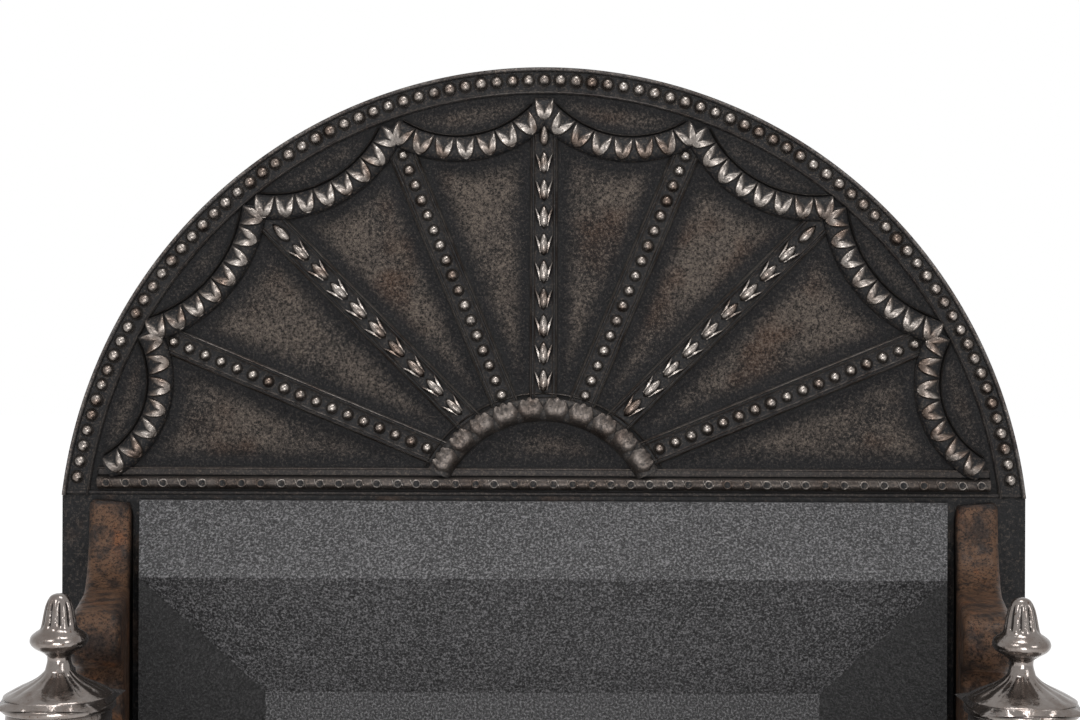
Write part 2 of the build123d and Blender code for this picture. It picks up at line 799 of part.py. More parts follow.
def rail(z):
    """One bowed front rail with a round tenon at each end."""
    bar = bowed_strip(rail_depth, standard_inner_x, z - rail_height / 2, z + rail_height / 2)
    inner = standard_inner_x
    bar += cross_rod(-inner - tenon_length, -inner + 2, standard_forward, z, tenon_radius)
    bar += cross_rod(inner - 2, inner + tenon_length, standard_forward, z, tenon_radius)
    return bar


def front_bearer_middle():
    """The middle height of the front bearer."""
    return bed_underside - bearer_height / 2


def front_bearer():
    """The flat bar between the standards that carries the front of the fire bed."""
    near = front_bearer_forward - bearer_depth / 2
    far = front_bearer_forward + bearer_depth / 2
    inner = standard_inner_x
    bar = block(-inner, inner, near, far, bed_underside - bearer_height, bed_underside)
    middle = front_bearer_middle()
    end = inner + tenon_length
    return bar + cross_rod(-end, end, front_bearer_forward, middle, tenon_radius)


def rear_bearer():
    """The angle bar on the back plate that carries the rear of the fire bed."""
    half = rear_bearer_half
    upright = block(-half, half, 0, rear_bearer_leg, bed_underside - rear_bearer_drop, bed_underside)
    shelf = block(-half, half, 0, rear_bearer_reach, bed_underside - rear_bearer_leg, bed_underside)
    angle = upright + shelf
    radius = bolt_radius + hole_clearance
    return angle - [rod(x, bearer_bolt_height, 0, rear_bearer_leg, radius) for x in bearer_bolt_places]


def bearer_nut(x):
    """A hexagon nut in front of the rear bearer."""
    nut = hexagon_bar(x, bearer_bolt_height, rear_bearer_leg)
    radius = bolt_radius + hole_clearance
    far = rear_bearer_leg + bolt_head_height
    return nut - rod(x, bearer_bolt_height, rear_bearer_leg, far, radius)


def bed_outline(inset):
    """The fire bed's plan in X and forward distance, inset from the walls round it."""
    rake = (fireback_ridge_forward - fireback_wall) / fireback_splay_width
    rear = fireback_wall + bed_gap + inset
    side = cheek_inner_root_x - (bed_gap + inset) / cos(radians(cheek_toe))
    slope = tan(radians(cheek_toe))
    corner_x = fireback_flat_half
    end_forward = (rear + rake * (side - corner_x) + inset / 2) / (1 + rake * slope) + 2
    end_x = side - slope * end_forward
    far = standard_forward + 2 * rail_bow
    far_x = side - slope * far
    plan = Polyline(
        (-corner_x, rear),
        (corner_x, rear),
        (end_x, end_forward),
        (far_x, far),
        (-far_x, far),
        (-end_x, end_forward),
        close=True,
    )
    bow = Pos(0, rail_centre_forward) * Circle(rail_radius - rail_depth / 2 - bed_gap - inset)
    return make_face(plan) & bow


def fire_bed():
    """The loose fire bed: a cast grid with bars from back to front."""
    plane = plan_plane(bed_top)
    grid = extrude(plane * bed_outline(0.0), bed_thickness)
    pitch = bed_bar + bed_slot
    count = int((standard_inner_x - bed_border) / pitch)
    near = fireback_wall + bed_gap + bed_border
    middle = (near + front_bearer_forward) / 2
    rows = [(near, middle - bed_bar / 2), (middle + bed_bar / 2, standard_forward + rail_bow)]
    window = bed_outline(bed_border)
    for start, end in rows:
        for index in range(-count, count + 1):
            strip = Pos(index * pitch, (start + end) / 2) * Rectangle(bed_slot, end - start)
            slot = strip & window
            if slot.area > bed_least_slot * strip.area:
                grid -= extrude(plane * slot, bed_thickness)
    return grid


def pierced_apron():
    """The bowed apron under the bottom rail, pierced with a row of round-ended slots."""
    half = standard_x - standard_collar / 2
    apron = bowed_strip(apron_thickness, half, apron_bottom, apron_top)
    pin_z = block_bottom - standard_collar_height / 2
    apron += cross_rod(-half - apron_pin_length, -half + 2, standard_forward, pin_z, apron_pin_radius)
    apron += cross_rod(half - 2, half + apron_pin_length, standard_forward, pin_z, apron_pin_radius)
    count = int((half - apron_pitch) / apron_pitch)
    middle = (apron_top + apron_bottom) / 2
    slot = SlotOverall(apron_slot_height, apron_slot_width, rotation=90)
    plane = front_plane(standard_forward - rail_bow)
    cuts = [
        extrude(plane * Pos(index * apron_pitch, middle) * slot, 3 * rail_bow)
        for index in range(-count, count + 1)
    ]
    return apron - cuts


def build():
    """Write every node."""
    cheek_places, fireback_places = rear_bolt_places()
    save("arch_panel", arch_panel())
    save("back_plate", back_plate())
    for side, x in zip(("left", "centre", "right"), strap_places):
        save(f"{side}_seam_strap", seam_strap(x))
    save("seam_screws", *[seam_screw(x, z) for x, z in screw_places()])
    save("fireback", fireback())
    save("fireback_bolts", *[rear_bolt(x, z, fireback_bolt_reach) for x, z in fireback_places])
    save("cheek_bolts", *[rear_bolt(x, z, bolt_reach) for x, z in cheek_places])
    for piece in (left_cheek, left_standard, left_urn, left_urn_lid):
        shape = piece()
        name = piece.__name__.replace("left_", "")
        save(f"left_{name}", shape)
        save(f"right_{name}", mirrored(shape))
    stud = urn_stud()
    save("urn_studs", stud, mirrored(stud))
    paterae = [patera_bolt(z) for z in patera_heights]
    save("patera_bolts", *paterae, *[mirrored(bolt) for bolt in paterae])
    for name, z in zip(("bottom", "lower_middle", "upper_middle", "top"), rail_heights):
        save(f"{name}_rail", rail(z))
    save("front_bearer", front_bearer())
    save("rear_bearer", rear_bearer())
    bearer_reach = rear_bearer_leg + bolt_head_height
    save("bearer_bolts", *[rear_bolt(x, bearer_bolt_height, bearer_reach) for x in bearer_bolt_places])
    save("bearer_nuts", *[bearer_nut(x) for x in bearer_bolt_places])
    save("fire_bed", fire_bed())
    save("pierced_apron", pierced_apron())


os.makedirs("parts", exist_ok=True)
build()
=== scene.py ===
"""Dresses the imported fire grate: the carved arch panel, fluted urns, rosettes, finishes and studio.

Lengths are metres. Carving is worked out in the panel's own frame (u to the right, v up from the
seam, h forward out of the plate) and set on the plate at the end.
"""

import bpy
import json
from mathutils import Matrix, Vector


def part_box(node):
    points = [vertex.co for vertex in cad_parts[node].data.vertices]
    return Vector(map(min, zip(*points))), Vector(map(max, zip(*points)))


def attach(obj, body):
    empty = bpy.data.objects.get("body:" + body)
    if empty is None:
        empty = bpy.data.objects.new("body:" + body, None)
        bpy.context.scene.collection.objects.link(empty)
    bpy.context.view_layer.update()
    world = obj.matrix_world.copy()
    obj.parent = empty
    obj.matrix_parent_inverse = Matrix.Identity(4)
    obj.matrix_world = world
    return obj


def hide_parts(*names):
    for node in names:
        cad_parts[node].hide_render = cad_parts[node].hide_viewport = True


bl_info = {
    "name": "Fire grate dressing",
    "version": (1, 0, 0),
    "blender": (4, 5, 0),
    "location": "3D View > Sidebar > Grate",
    "description": "Carves the panel, turns the urns and finishes the castings of a fire grate",
    "category": "Object",
}

import json
from collections import namedtuple

import bpy
import numpy as np
from bpy.props import FloatProperty, FloatVectorProperty, IntProperty, PointerProperty

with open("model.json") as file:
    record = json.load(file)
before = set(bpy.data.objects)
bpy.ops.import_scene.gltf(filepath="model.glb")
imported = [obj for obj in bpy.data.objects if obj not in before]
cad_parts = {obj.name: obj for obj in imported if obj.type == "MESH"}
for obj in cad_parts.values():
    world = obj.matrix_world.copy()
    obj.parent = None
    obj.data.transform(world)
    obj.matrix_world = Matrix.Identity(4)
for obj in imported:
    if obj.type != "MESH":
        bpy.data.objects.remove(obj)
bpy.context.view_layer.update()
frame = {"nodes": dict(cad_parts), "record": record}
NODES = frame["nodes"]
SLOT_OF_NODE = {part["node"]: part["material_slot"] for part in frame["record"]["subparts"]}

MM = 0.001
BODY = "grate"
WELD_LENGTH = 2e-6
SHARP_ANGLE = np.radians(48)

# The plate, from the frame
BACK_LOW, BACK_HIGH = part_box("back_plate")
PANEL_LOW, PANEL_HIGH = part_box("arch_panel")
SEAM = BACK_HIGH.z
HALF_WIDTH = BACK_HIGH.x
PLATE_FRONT = BACK_LOW.y
PLATE_THICKNESS = BACK_HIGH.y - BACK_LOW.y
ARCH_RISE = PANEL_HIGH.z - SEAM
ARCH_RADIUS = (ARCH_RISE**2 + HALF_WIDTH**2) / (2 * ARCH_RISE)
CENTRE_DROP = ARCH_RADIUS - ARCH_RISE

# How far the swags' and the boss's edges lie from their middle lines, how high the base mouldings
# reach above the seam, how far the round moulding's axis stands out of the plate, and how deep the
# leaves are sunk in their rolls
ROLL_EDGE = 9.0 * MM
BASE_TOP = 19.0 * MM
ROLL_LIFT = 0.4 * MM
LEAF_SINK = 1.2 * MM

# Each soft lamp's place and width in metres and its power in watts
LAMPS = {
    "key_lamp": ((-0.9, -1.5, 1.7), 0.6, 13),
    "top_lamp": ((0.15, -0.35, 1.9), 0.55, 10),
    "right_lamp": ((1.2, -1.4, 1.0), 0.45, 5),
    "low_lamp": ((0.0, -1.7, 0.25), 0.6, 19),
}

# The camera's sensor in millimetres, and the share of white that the floor adds for the camera
SENSOR_WIDTH = 36.0
FLOOR_GLOW = 0.88

Shape = namedtuple("Shape", "points quads wear")


def length(name, description, default):
    """A length in metres that a user may change."""
    return FloatProperty(
        name=name, description=description, default=default, unit="LENGTH", precision=5
    )


def turn(name, description, default):
    """An angle in radians that a user may change."""
    return FloatProperty(name=name, description=description, default=default, subtype="ANGLE")


def count(name, description, default):
    """A number of pieces that a user may change."""
    return IntProperty(name=name, description=description, default=default, min=1)


def colour(name, description, default):
    """A linear colour that a user may change."""
    opaque = default + (1.0,)
    return FloatVectorProperty(
        name=name, description=description, default=opaque, size=4, subtype="COLOR", min=0, max=1
    )


class GrateRim(bpy.types.PropertyGroup):
    """Sizes of the arch's lip, beads and inner fillet."""

    lip_width: length("Lip width", "Width of the raised lip along the arch's edge", 2.6 * MM)
    lip_height: length("Lip height", "Height of the lip and of the inner fillet", 2.4 * MM)
    band_height: length("Band height", "Height of the flat band under the beads", 0.7 * MM)
    fillet_inset: length("Fillet inset", "How far the fillet's middle lies from the edge", 16.7 * MM)
    fillet_width: length("Fillet width", "Width of the inner fillet", 2.2 * MM)
    bead_radius: length("Bead radius", "Radius of a bead in the row along the arch", 4.0 * MM)
    bead_inset: length("Bead inset", "How far the beads' middles lie from the edge", 8.4 * MM)
    bead_foot: length("Lowest bead", "Height of the lowest beads above the seam", 12.0 * MM)
    beads: count("Beads", "Number of beads along the arch", 85)


class GrateRays(bpy.types.PropertyGroup):
    """Sizes of the seven rays."""

    spread: turn("Spread", "Angle between neighbouring rays", np.radians(22.5))
    width: length("Width", "Width of a ray from edge to edge", 18.6 * MM)
    ridge: length("Ridge", "Height of the fine ridges along a ray's borders", 2.1 * MM)
    bead_radius: length("Bead radius", "Radius of a bead on the beaded rays", 3.5 * MM)
    first_bead: length("First bead", "Distance of the first bead from the seam's middle", 72.5 * MM)
    first_side_bead: length("First side bead", "The same, on the two lowest rays", 83.5 * MM)
    beads: count("Beads", "Number of beads on a beaded ray", 17)
    husk_length: length("Husk length", "Length of a bell-flower's bud", 16.4 * MM)
    husk_radius: length("Husk radius", "Half the width of a bell-flower's bud", 3.5 * MM)
    husk_pitch: length("Husk pitch", "Distance from one bell-flower to the next", 18.1 * MM)
    last_husk: length("Last husk", "Distance of the outermost bud from the seam", 240.0 * MM)
    husks: count("Husks", "Number of bell-flowers on a ray", 10)


class GrateSwags(bpy.types.PropertyGroup):
    """Sizes of the hanging swags of leaves."""

    roll_half_width: length("Roll half width", "Half the dark roll's width", 8.4 * MM)
    roll_height: length("Roll height", "Height of the roll", 5.4 * MM)
    leaf_width: length("Leaf width", "Width of a leaf at its base", 12.8 * MM)
    leaf_length: length("Leaf length", "Length of a leaf", 15.4 * MM)
    leaf_height: length("Leaf height", "How far a leaf's lobes stand above the roll", 1.9 * MM)
    leaf_pitch: length("Leaf pitch", "Distance from one leaf to the next", 14.6 * MM)
    border_offset: length("Border offset", "From the roll's middle to its outer ridge", 9.4 * MM)


class GrateBoss(bpy.types.PropertyGroup):
    """Sizes of the half ring of leaves round the lunette."""

    drop: length("Drop", "How far the ring's centre lies below the seam", 19.3 * MM)
    radius: length("Radius", "Radius of the ring's middle line", 77.4 * MM)
    roll_half_width: length("Roll half width", "Half the width of the ring's roll", 8.2 * MM)
    roll_height: length("Roll height", "Height of the ring's roll", 4.6 * MM)
    clumps: count("Clumps", "Number of leaf clumps round the ring", 10)
    clump_end: turn("End", "Angle of the last clump from the top", np.radians(56.0))


class GrateBase(bpy.types.PropertyGroup):
    """Sizes of the mouldings along the seam."""

    half_length: length("Half length", "Half the length of the round moulding", 296.0 * MM)
    roll_height: length("Roll height", "Height of the round moulding above the seam", 8.4 * MM)
    roll_radius: length("Roll radius", "Radius of the round moulding", 4.4 * MM)
    ring_radius: length("Ring radius", "Radius of the small rings struck on the moulding", 2.7 * MM)
    rings: count("Rings", "Number of small rings", 46)


class GrateColours(bpy.types.PropertyGroup):
    """Colours of the castings, the polished work and the floor."""

    charcoal: colour("Charcoal", "Blackened iron in the carving's ground", (0.009, 0.0092, 0.0102))
    rubbed: colour("Rubbed", "Grey-brown iron where the ground is rubbed", (0.1, 0.081, 0.067))
    umber: colour("Umber", "Brown stain in the rubbed ground", (0.075, 0.045, 0.03))
    silver: colour("Silver", "Worn bright iron on the tops of the carving", (0.25, 0.224, 0.204))
    graphite: colour("Graphite", "The fireback's grey", (0.052, 0.051, 0.053))
    sparkle: colour("Sparkle", "Rubbed grains of the fireback's skin", (0.21, 0.206, 0.21))
    heat_brown: colour("Heat brown", "The cheeks' brown", (0.105, 0.057, 0.034))
    rust: colour("Rust", "Thin rust", (0.22, 0.075, 0.025))
    # Soot and old blacking; this colour is also laid as painted shade in hollows and on the fireback's
    # splayed sides.
    soot_and_shade: colour("Soot", "Soot and old blacking", (0.005, 0.0048, 0.0048))
    steel: colour("Steel", "Polished steel", (0.2, 0.178, 0.165))
    floor: colour("Floor", "The pale floor", (0.86, 0.86, 0.86))


class GrateStage(bpy.types.PropertyGroup):
    """The camera, the even light and the floor."""

    lens: FloatProperty(name="Lens", description="Focal length in millimetres", default=55.17)
    camera_forward: length("Camera distance", "Distance of the camera from the plate", 1.1)
    camera_height: length("Camera height", "Height of the camera above the seam", 0.0907)
    camera_side: length("Camera side", "How far right of the middle the camera stands", 0.0055)
    roll: turn("Roll", "How far the camera leans", np.radians(-0.2))
    yaw: turn("Yaw", "How far the camera looks to the left", np.radians(0.405))
    ambient: FloatProperty(name="Ambient", description="Strength of the even light", default=0.2)
    floor_half: length("Floor", "Half the width of the floor", 14.0)


SETTINGS = {
    "grate_rim": GrateRim,
    "grate_rays": GrateRays,
    "grate_swags": GrateSwags,
    "grate_boss": GrateBoss,
    "grate_base": GrateBase,
    "grate_colours": GrateColours,
    "grate_stage": GrateStage,
}

# The swags' joints, as angles from upright and radii about the seam's middle, and the radii of the
# swags' middles
SWAG_ANGLES = np.radians([0.0, 22.5, 45.0, 67.5, 86.5])
SWAG_JOINTS = np.array([256.5, 263.2, 271.8, 284.4, 290.4]) * MM
SWAG_MIDDLES = np.array([235.9, 244.6, 255.9, 263.2]) * MM


# Shapes

def smooth(value, low, high):
    """0 below low, 1 above high, and between them the cubic 3t squared minus 2t cubed."""
    t = np.clip((value - low) / (high - low), 0, 1)
    return t * t * (3 - 2 * t)


def corner_numbers(rows, columns, wrapped):
    """The quads between neighbouring points of a grid, as point numbers.

    A wrapped grid's last column is joined to its first.
    """
    index = np.arange(rows * columns).reshape(rows, columns)
    if wrapped:
        index = np.hstack([index, index[:, :1]])
    corners = [index[:-1, :-1], index[1:, :-1], index[1:, 1:], index[:-1, 1:]]
    return np.stack(corners, -1).reshape(-1, 4)


def outward(shape):
    """The shape with its faces turned out: the sum of its corner tetrahedra must be positive."""
    a, b, c, d = (shape.points[shape.quads[:, corner]] for corner in range(4))
    volume = (a * np.cross(b, c)).sum() + (a * np.cross(c, d)).sum()
    return shape if volume > 0 else shape._replace(quads=shape.quads[:, ::-1])


def closed_grid(points, wear):
    """A closed surface from a grid of points: each row is a ring, and the end rows are poles."""
    rows, columns = points.shape[:2]
    quads = corner_numbers(rows, columns, wrapped=True)
    wear = np.broadcast_to(wear, (rows, columns)).reshape(-1)
    return outward(Shape(points.reshape(-1, 3), quads, wear))


def capped(rings, wear):
    """A closed surface from open rings: each end closes in a fan about its ring's mean point."""
    ends = [np.broadcast_to(ring.mean(0), (1,) + ring.shape) for ring in (rings[0], rings[-1])]
    rings = np.concatenate([ends[0], rings, ends[1]])
    return closed_grid(rings, wear)


def slab(front, back, wear):
    """A closed body between two grids of equal size, walled along their four borders."""
    rows, columns = front.shape[:2]
    total = rows * columns
    quads = corner_numbers(rows, columns, wrapped=False)
    index = np.arange(total).reshape(rows, columns)
    loop = np.concatenate([index[0, :-1], index[:-1, -1], index[-1, :0:-1], index[:0:-1, 0]])
    after = np.roll(loop, -1)
    walls = np.stack([loop, after, after + total, loop + total], -1)
    points = np.concatenate([front.reshape(-1, 3), back.reshape(-1, 3)])
    wear = np.broadcast_to(wear, (rows, columns)).reshape(-1)
    quads = np.concatenate([quads, quads[:, ::-1] + total, walls])
    return outward(Shape(points, quads, np.concatenate([wear, wear * 0])))


def together(shapes):
    """Several shapes as one."""
    starts = np.cumsum([0] + [len(shape.points) for shape in shapes[:-1]])
    quads = [shape.quads + start for shape, start in zip(shapes, starts)]
    points = np.concatenate([shape.points for shape in shapes])
    return Shape(points, np.concatenate(quads), np.concatenate([shape.wear for shape in shapes]))


def mirrored(shape):
    """The shape on the other side of the middle, with its faces still turned out."""
    return Shape(shape.points * (-1, 1, 1), shape.quads[:, ::-1], shape.wear)


def both_sides(shape):
    """The shape and its mirror image."""
    return together([shape, mirrored(shape)])


def copies(shape, middles, turns, sizes=None):
    """The shape at each middle, turned clockwise in the panel's plane and scaled by each size."""
    middles = np.asarray(middles)
    turns = np.broadcast_to(turns, len(middles))[:, None]
    sizes = np.ones(len(middles)) if sizes is None else sizes
    u, v, h = (shape.points[None, :, axis] * sizes[:, None] for axis in range(3))
    across = middles[:, :1] + u * np.cos(turns) + v * np.sin(turns)
    up = middles[:, 1:] - u * np.sin(turns) + v * np.cos(turns)
    points = np.stack([across, up, h], -1).reshape(-1, 3)
    starts = np.arange(len(middles)) * len(shape.points)
    quads = (shape.quads[None] + starts[:, None, None]).reshape(-1, 4)
    return Shape(points, quads, np.tile(shape.wear, len(middles)))


def swept(section, path, normals, wear):
    """A closed section of offsets and heights carried along a path in the panel's plane.

    Each point lies at the path's point plus its offset times the normal, at its own height, and
    both ends close in a fan about the section's mean point.
    """
    section = np.asarray(section)
    plan = path[:, None] + section[None, :, :1] * normals[:, None]
    height = np.broadcast_to(section[:, 1], plan.shape[:2])[..., None]
    return capped(np.concatenate([plan, height], -1), wear)


def half_round(half_width, height, points):
    """A half-round section: heights are the roots of one minus the offset's share squared.

    Its foot is sunk in the plate.
    """
    foot = 1.0 * MM
    lean = np.linspace(0, np.pi, points)
    arch = np.stack([half_width * np.cos(lean), height * np.sin(lean)], -1)
    return np.concatenate([arch, [[-half_width, -foot], [half_width, -foot]]])


def ray_point(angle, radius):
    """A point at an angle from upright and a radius from the seam's middle."""
    return np.stack([radius * np.sin(angle), radius * np.cos(angle)], -1)


def reach_to_circle(angle, drop, radius):
    """How far a line from the seam's middle runs to a circle whose centre lies below it by drop.

    It is the root of r squared plus two r drop cos(angle) plus drop squared equals radius squared.
    """
    return np.sqrt(radius**2 - (drop * np.sin(angle)) ** 2) - drop * np.cos(angle)


def arc_through(start, middle, end, steps):
    """Points on the circle through three points, and their directions towards its centre."""
    ends = np.array([start, middle, end])
    sides = 2 * (ends[1:] - ends[0])
    squares = (ends[1:] ** 2).sum(1) - (ends[0] ** 2).sum()
    centre = complex(*np.linalg.solve(sides, squares))
    arms = ends @ np.array([1, 1j]) - centre
    swing = np.linspace(np.angle(arms[0] / arms[1]), np.angle(arms[2] / arms[1]), steps)
    arm = arms[1] * np.exp(1j * swing)
    points = centre + arm
    inward = -arm / abs(arm)
    return np.stack([points.real, points.imag], -1), np.stack([inward.real, inward.imag], -1)


def bead_in_socket(radius, level):
    """A bead in its socket: a ball's top half, a dark groove round it at the level, and a thin lip.

    The ball is a little flat: its height is 0.92 of its radius. The socket's points are shares of
    the radius and heights in millimetres.
    """
    flatness = 0.92
    lean = np.radians([0, 25, 50, 75])
    socket = np.array([(1.08, 0.05), (1.2, 0.45), (1.3, 0.0), (1.3, -1.5), (0, -1.5)])
    side = radius * np.append(np.sin(lean), socket[:, 0])
    rise = level + np.append(flatness * radius * np.cos(lean), socket[:, 1] * MM)
    around = np.linspace(0, 2 * np.pi, 12, endpoint=False)
    u = side[:, None] * np.cos(around)
    v = side[:, None] * np.sin(around)
    h = np.broadcast_to(rise[:, None], u.shape)
    wear = np.append(smooth(np.cos(lean), 0.0, 0.55), [0, 0.35, 0, 0, 0])[:, None]
    return closed_grid(np.stack([u, v, h], -1), wear)


def welded(points, quads):
    """The points without doubles, the quads renumbered to match, and the kept points' numbers."""
    keys = np.round(points / WELD_LENGTH).astype(np.int64)
    _, first, number = np.unique(keys, axis=0, return_index=True, return_inverse=True)
    return points[first], number.reshape(-1)[quads], first


def make_piece(name, shape, finish, replaced):
    """A piece from a shape in the grate's frame, with its poles and seams closed by welding.

    A quad that has lost one corner in a pole becomes a triangle, and one that has lost more goes.
    """
    points, quads, first = welded(shape.points, shape.quads)
    distinct = quads != np.roll(quads, -1, axis=1)
    kept = distinct.sum(1) > 2
    corners = quads[kept][distinct[kept]]
    totals = distinct[kept].sum(1)
    mesh = bpy.data.meshes.new(name)
    mesh.vertices.add(len(points))
    mesh.vertices.foreach_set("co", points.astype(np.float32).ravel())
    mesh.loops.add(len(corners))
    mesh.loops.foreach_set("vertex_index", corners.astype(np.int32))
    mesh.polygons.add(len(totals))
    mesh.polygons.foreach_set("loop_start", (np.cumsum(totals) - totals).astype(np.int32))
    mesh.update(calc_edges=True)
    mesh.validate()
    attribute = mesh.attributes.new("wear", "FLOAT", "POINT")
    attribute.data.foreach_set("value", shape.wear[first].astype(np.float32))
    mesh.shade_smooth()
    mesh.set_sharp_from_angle(angle=SHARP_ANGLE)
    mesh.materials.append(finish)
    piece = bpy.data.objects.new(name, mesh)
    bpy.context.scene.collection.objects.link(piece)
    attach(piece, BODY)
    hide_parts(*replaced)


def carve(name, shape, finish):
    """A piece of the carving: X is u, Y is the plate's front less h, and Z is the seam plus v."""
    u, v, h = shape.points.T
    points = np.stack([u, PLATE_FRONT - h, SEAM + v], -1)
    make_piece(name, shape._replace(points=points), finish, ["arch_panel"])


# The carved panel

def swag_paths(steps=40):
    """The four right-hand swags, from the apex down: points, and directions towards the rim."""
    paths = []
    for number, middle_radius in enumerate(SWAG_MIDDLES):
        angles = SWAG_ANGLES[number : number + 2]
        start, end = ray_point(angles, SWAG_JOINTS[number : number + 2])
        middle = ray_point(angles.mean(), middle_radius)
        paths.append(arc_through(start, middle, end, steps))
    return paths


def swag_reach(angle):
    """The swags' distance from the seam's middle at each angle, read off their paths."""
    points = np.concatenate([path for path, _ in swag_paths()])
    return np.interp(abs(angle), np.arctan2(points[:, 0], points[:, 1]), np.hypot(*points.T))


def ground_distances(u, v):
    """Distances from the nearest ray, outwards from the swags and the boss, and in from the arch.

    From a ray it is the radius times the sine of the angle to the ray's middle line. The others
    are differences of radii.
    """
    boss = bpy.context.scene.grate_boss
    spread = bpy.context.scene.grate_rays.spread
    angle = np.arctan2(u, np.maximum(v, 1e-9))
    radius = np.hypot(u, v)
    nearest = np.clip(np.round(angle / spread), -3, 3) * spread
    from_ray = radius * np.abs(np.sin(angle - nearest))
    from_swag = radius - swag_reach(angle)
    from_boss = np.hypot(u, v + boss.drop) - boss.radius
    from_rim = ARCH_RADIUS - np.hypot(u, v + CENTRE_DROP)
    return from_ray, from_swag, from_boss, from_rim


def ground_masks(u, v, margin, fade):
    """How far a point lies inside a wedge, a crescent or the lunette, each from 0 to 1.

    Each is a product of smooth steps, which begin at a margin from the form beside the ground and
    end after the fade.
    """
    from_ray, from_swag, from_boss, from_rim = ground_distances(u, v)
    past_fillet = 2.0 * MM
    crescent_foot, crescent_full = 10.0 * MM, 25.0 * MM
    foot = BASE_TOP + margin
    ray_edge = bpy.context.scene.grate_rays.width / 2 + margin
    rim_edge = bpy.context.scene.grate_rim.fillet_inset + past_fillet + margin / 2
    edge = ROLL_EDGE + margin
    above_base = smooth(v, foot, foot + fade)
    beside = smooth(from_ray, ray_edge, ray_edge + fade)
    inside = smooth(-from_swag, edge, edge + fade)
    clear = smooth(from_boss, edge + margin, edge + margin + fade)
    wedge = beside * inside * clear * above_base
    beyond = smooth(from_swag, edge, edge + fade / 2)
    within_rim = smooth(from_rim, rim_edge, rim_edge + fade / 2)
    crescent = beyond * within_rim * smooth(v, crescent_foot, crescent_full)
    lunette = smooth(-from_boss, edge, edge + fade) * above_base
    return wedge, crescent, lunette


def panel_ground():
    """The plate itself, on a polar grid about the seam's middle, a share of the way to the arch.

    Its front sinks by a little in the wedges, crescents and lunette, times each one's smooth mask.
    """
    angle = np.linspace(-np.pi / 2, np.pi / 2, 301)
    share = np.linspace(0, 1, 107)
    radius = share * reach_to_circle(angle, CENTRE_DROP, ARCH_RADIUS)[:, None]
    u = radius * np.sin(angle)[:, None]
    v = radius * np.cos(angle)[:, None]
    wedge_depth, crescent_depth, lunette_depth = 1.1 * MM, 1.3 * MM, 1.2 * MM
    wedge, crescent, lunette = ground_masks(u, v, margin=0.5 * MM, fade=7 * MM)
    h = -wedge_depth * wedge - crescent_depth * crescent - lunette_depth * lunette
    rubbed = ground_masks(u, v, margin=3.5 * MM, fade=15 * MM)
    rubbed_wedge, rubbed_crescent, rubbed_lunette = rubbed
    wear = np.maximum(np.maximum(rubbed_wedge, 0.45 * rubbed_crescent), 0.6 * rubbed_lunette)
    wear = wear * (0.72 + 0.28 * np.cos(angle) ** 2)[:, None]
    front = np.stack([u, v, h], -1)
    back = np.stack([u, v, np.full_like(u, -PLATE_THICKNESS)], -1)
    return slab(front, back, wear)


def arch_sweep(section, wear):
    """A section of insets and heights carried round the arch, each inset down to the seam.

    At an inset the arch's radius is less by it, and its end angle's cosine is the drop over that
    radius, so both ends lie flat on the seam.
    """
    inset, height = np.asarray(section).T
    radius = ARCH_RADIUS - inset
    angle = np.linspace(-1, 1, 361)[:, None] * np.arccos(CENTRE_DROP / radius)
    u = radius * np.sin(angle)
    v = radius * np.cos(angle) - CENTRE_DROP
    return capped(np.stack([u, v, np.broadcast_to(height, u.shape)], -1), wear)


def rim_mouldings():
    """The lip, the flat band and the inner fillet, one section carried round the arch."""
    rim = bpy.context.scene.grate_rim
    lip, top, band = rim.lip_width, rim.lip_height, rim.band_height
    fillet, half = rim.fillet_inset, rim.fillet_width / 2
    # Each point's inset from the arch, its height and its wear
    section = [
        (0, -1 * MM, 0.0),
        (0, top - 0.5 * MM, 0.35),
        (0.4 * MM, top, 0.6),
        (lip - 0.8 * MM, top, 0.3),
        (lip, top - 0.5 * MM, 0.3),
        (lip + 0.3 * MM, band, 0.0),
        (fillet - 2 * half, band, 0.0),
        (fillet - half, band + 0.2 * MM, 0.1),
        (fillet - half / 2, top - 0.5 * MM, 0.3),
        (fillet, top - 0.3 * MM, 0.42),
        (fillet + half / 2, top - 0.6 * MM, 0.3),
        (fillet + half, band - 0.2 * MM, 0.0),
        (fillet + 1.3 * half, -2 * MM, 0.0),
    ]
    section = np.array(section)
    return arch_sweep(section[:, :2], section[:, 2])


def rim_beads(random):
    """The beads along the arch, at equal angles, each a little larger or smaller than the next."""
    rim = bpy.context.scene.grate_rim
    radius = ARCH_RADIUS - rim.bead_inset
    end = np.arccos((CENTRE_DROP + rim.bead_foot) / radius)
    angle = np.linspace(-end, end, rim.beads)
    middles = ray_point(angle, radius) - (0, CENTRE_DROP)
    bead = bead_in_socket(rim.bead_radius, rim.band_height)
    return copies(bead, middles, angle, random.uniform(0.93, 1.03, rim.beads))


def ray_sweep(angle, low, high, section, wear):
    """A section carried along a ray between two radii."""
    path = ray_point(angle, np.linspace(low, high, 3))
    normals = np.broadcast_to([np.cos(angle), -np.sin(angle)], path.shape)
    return swept(section, path, normals, wear)


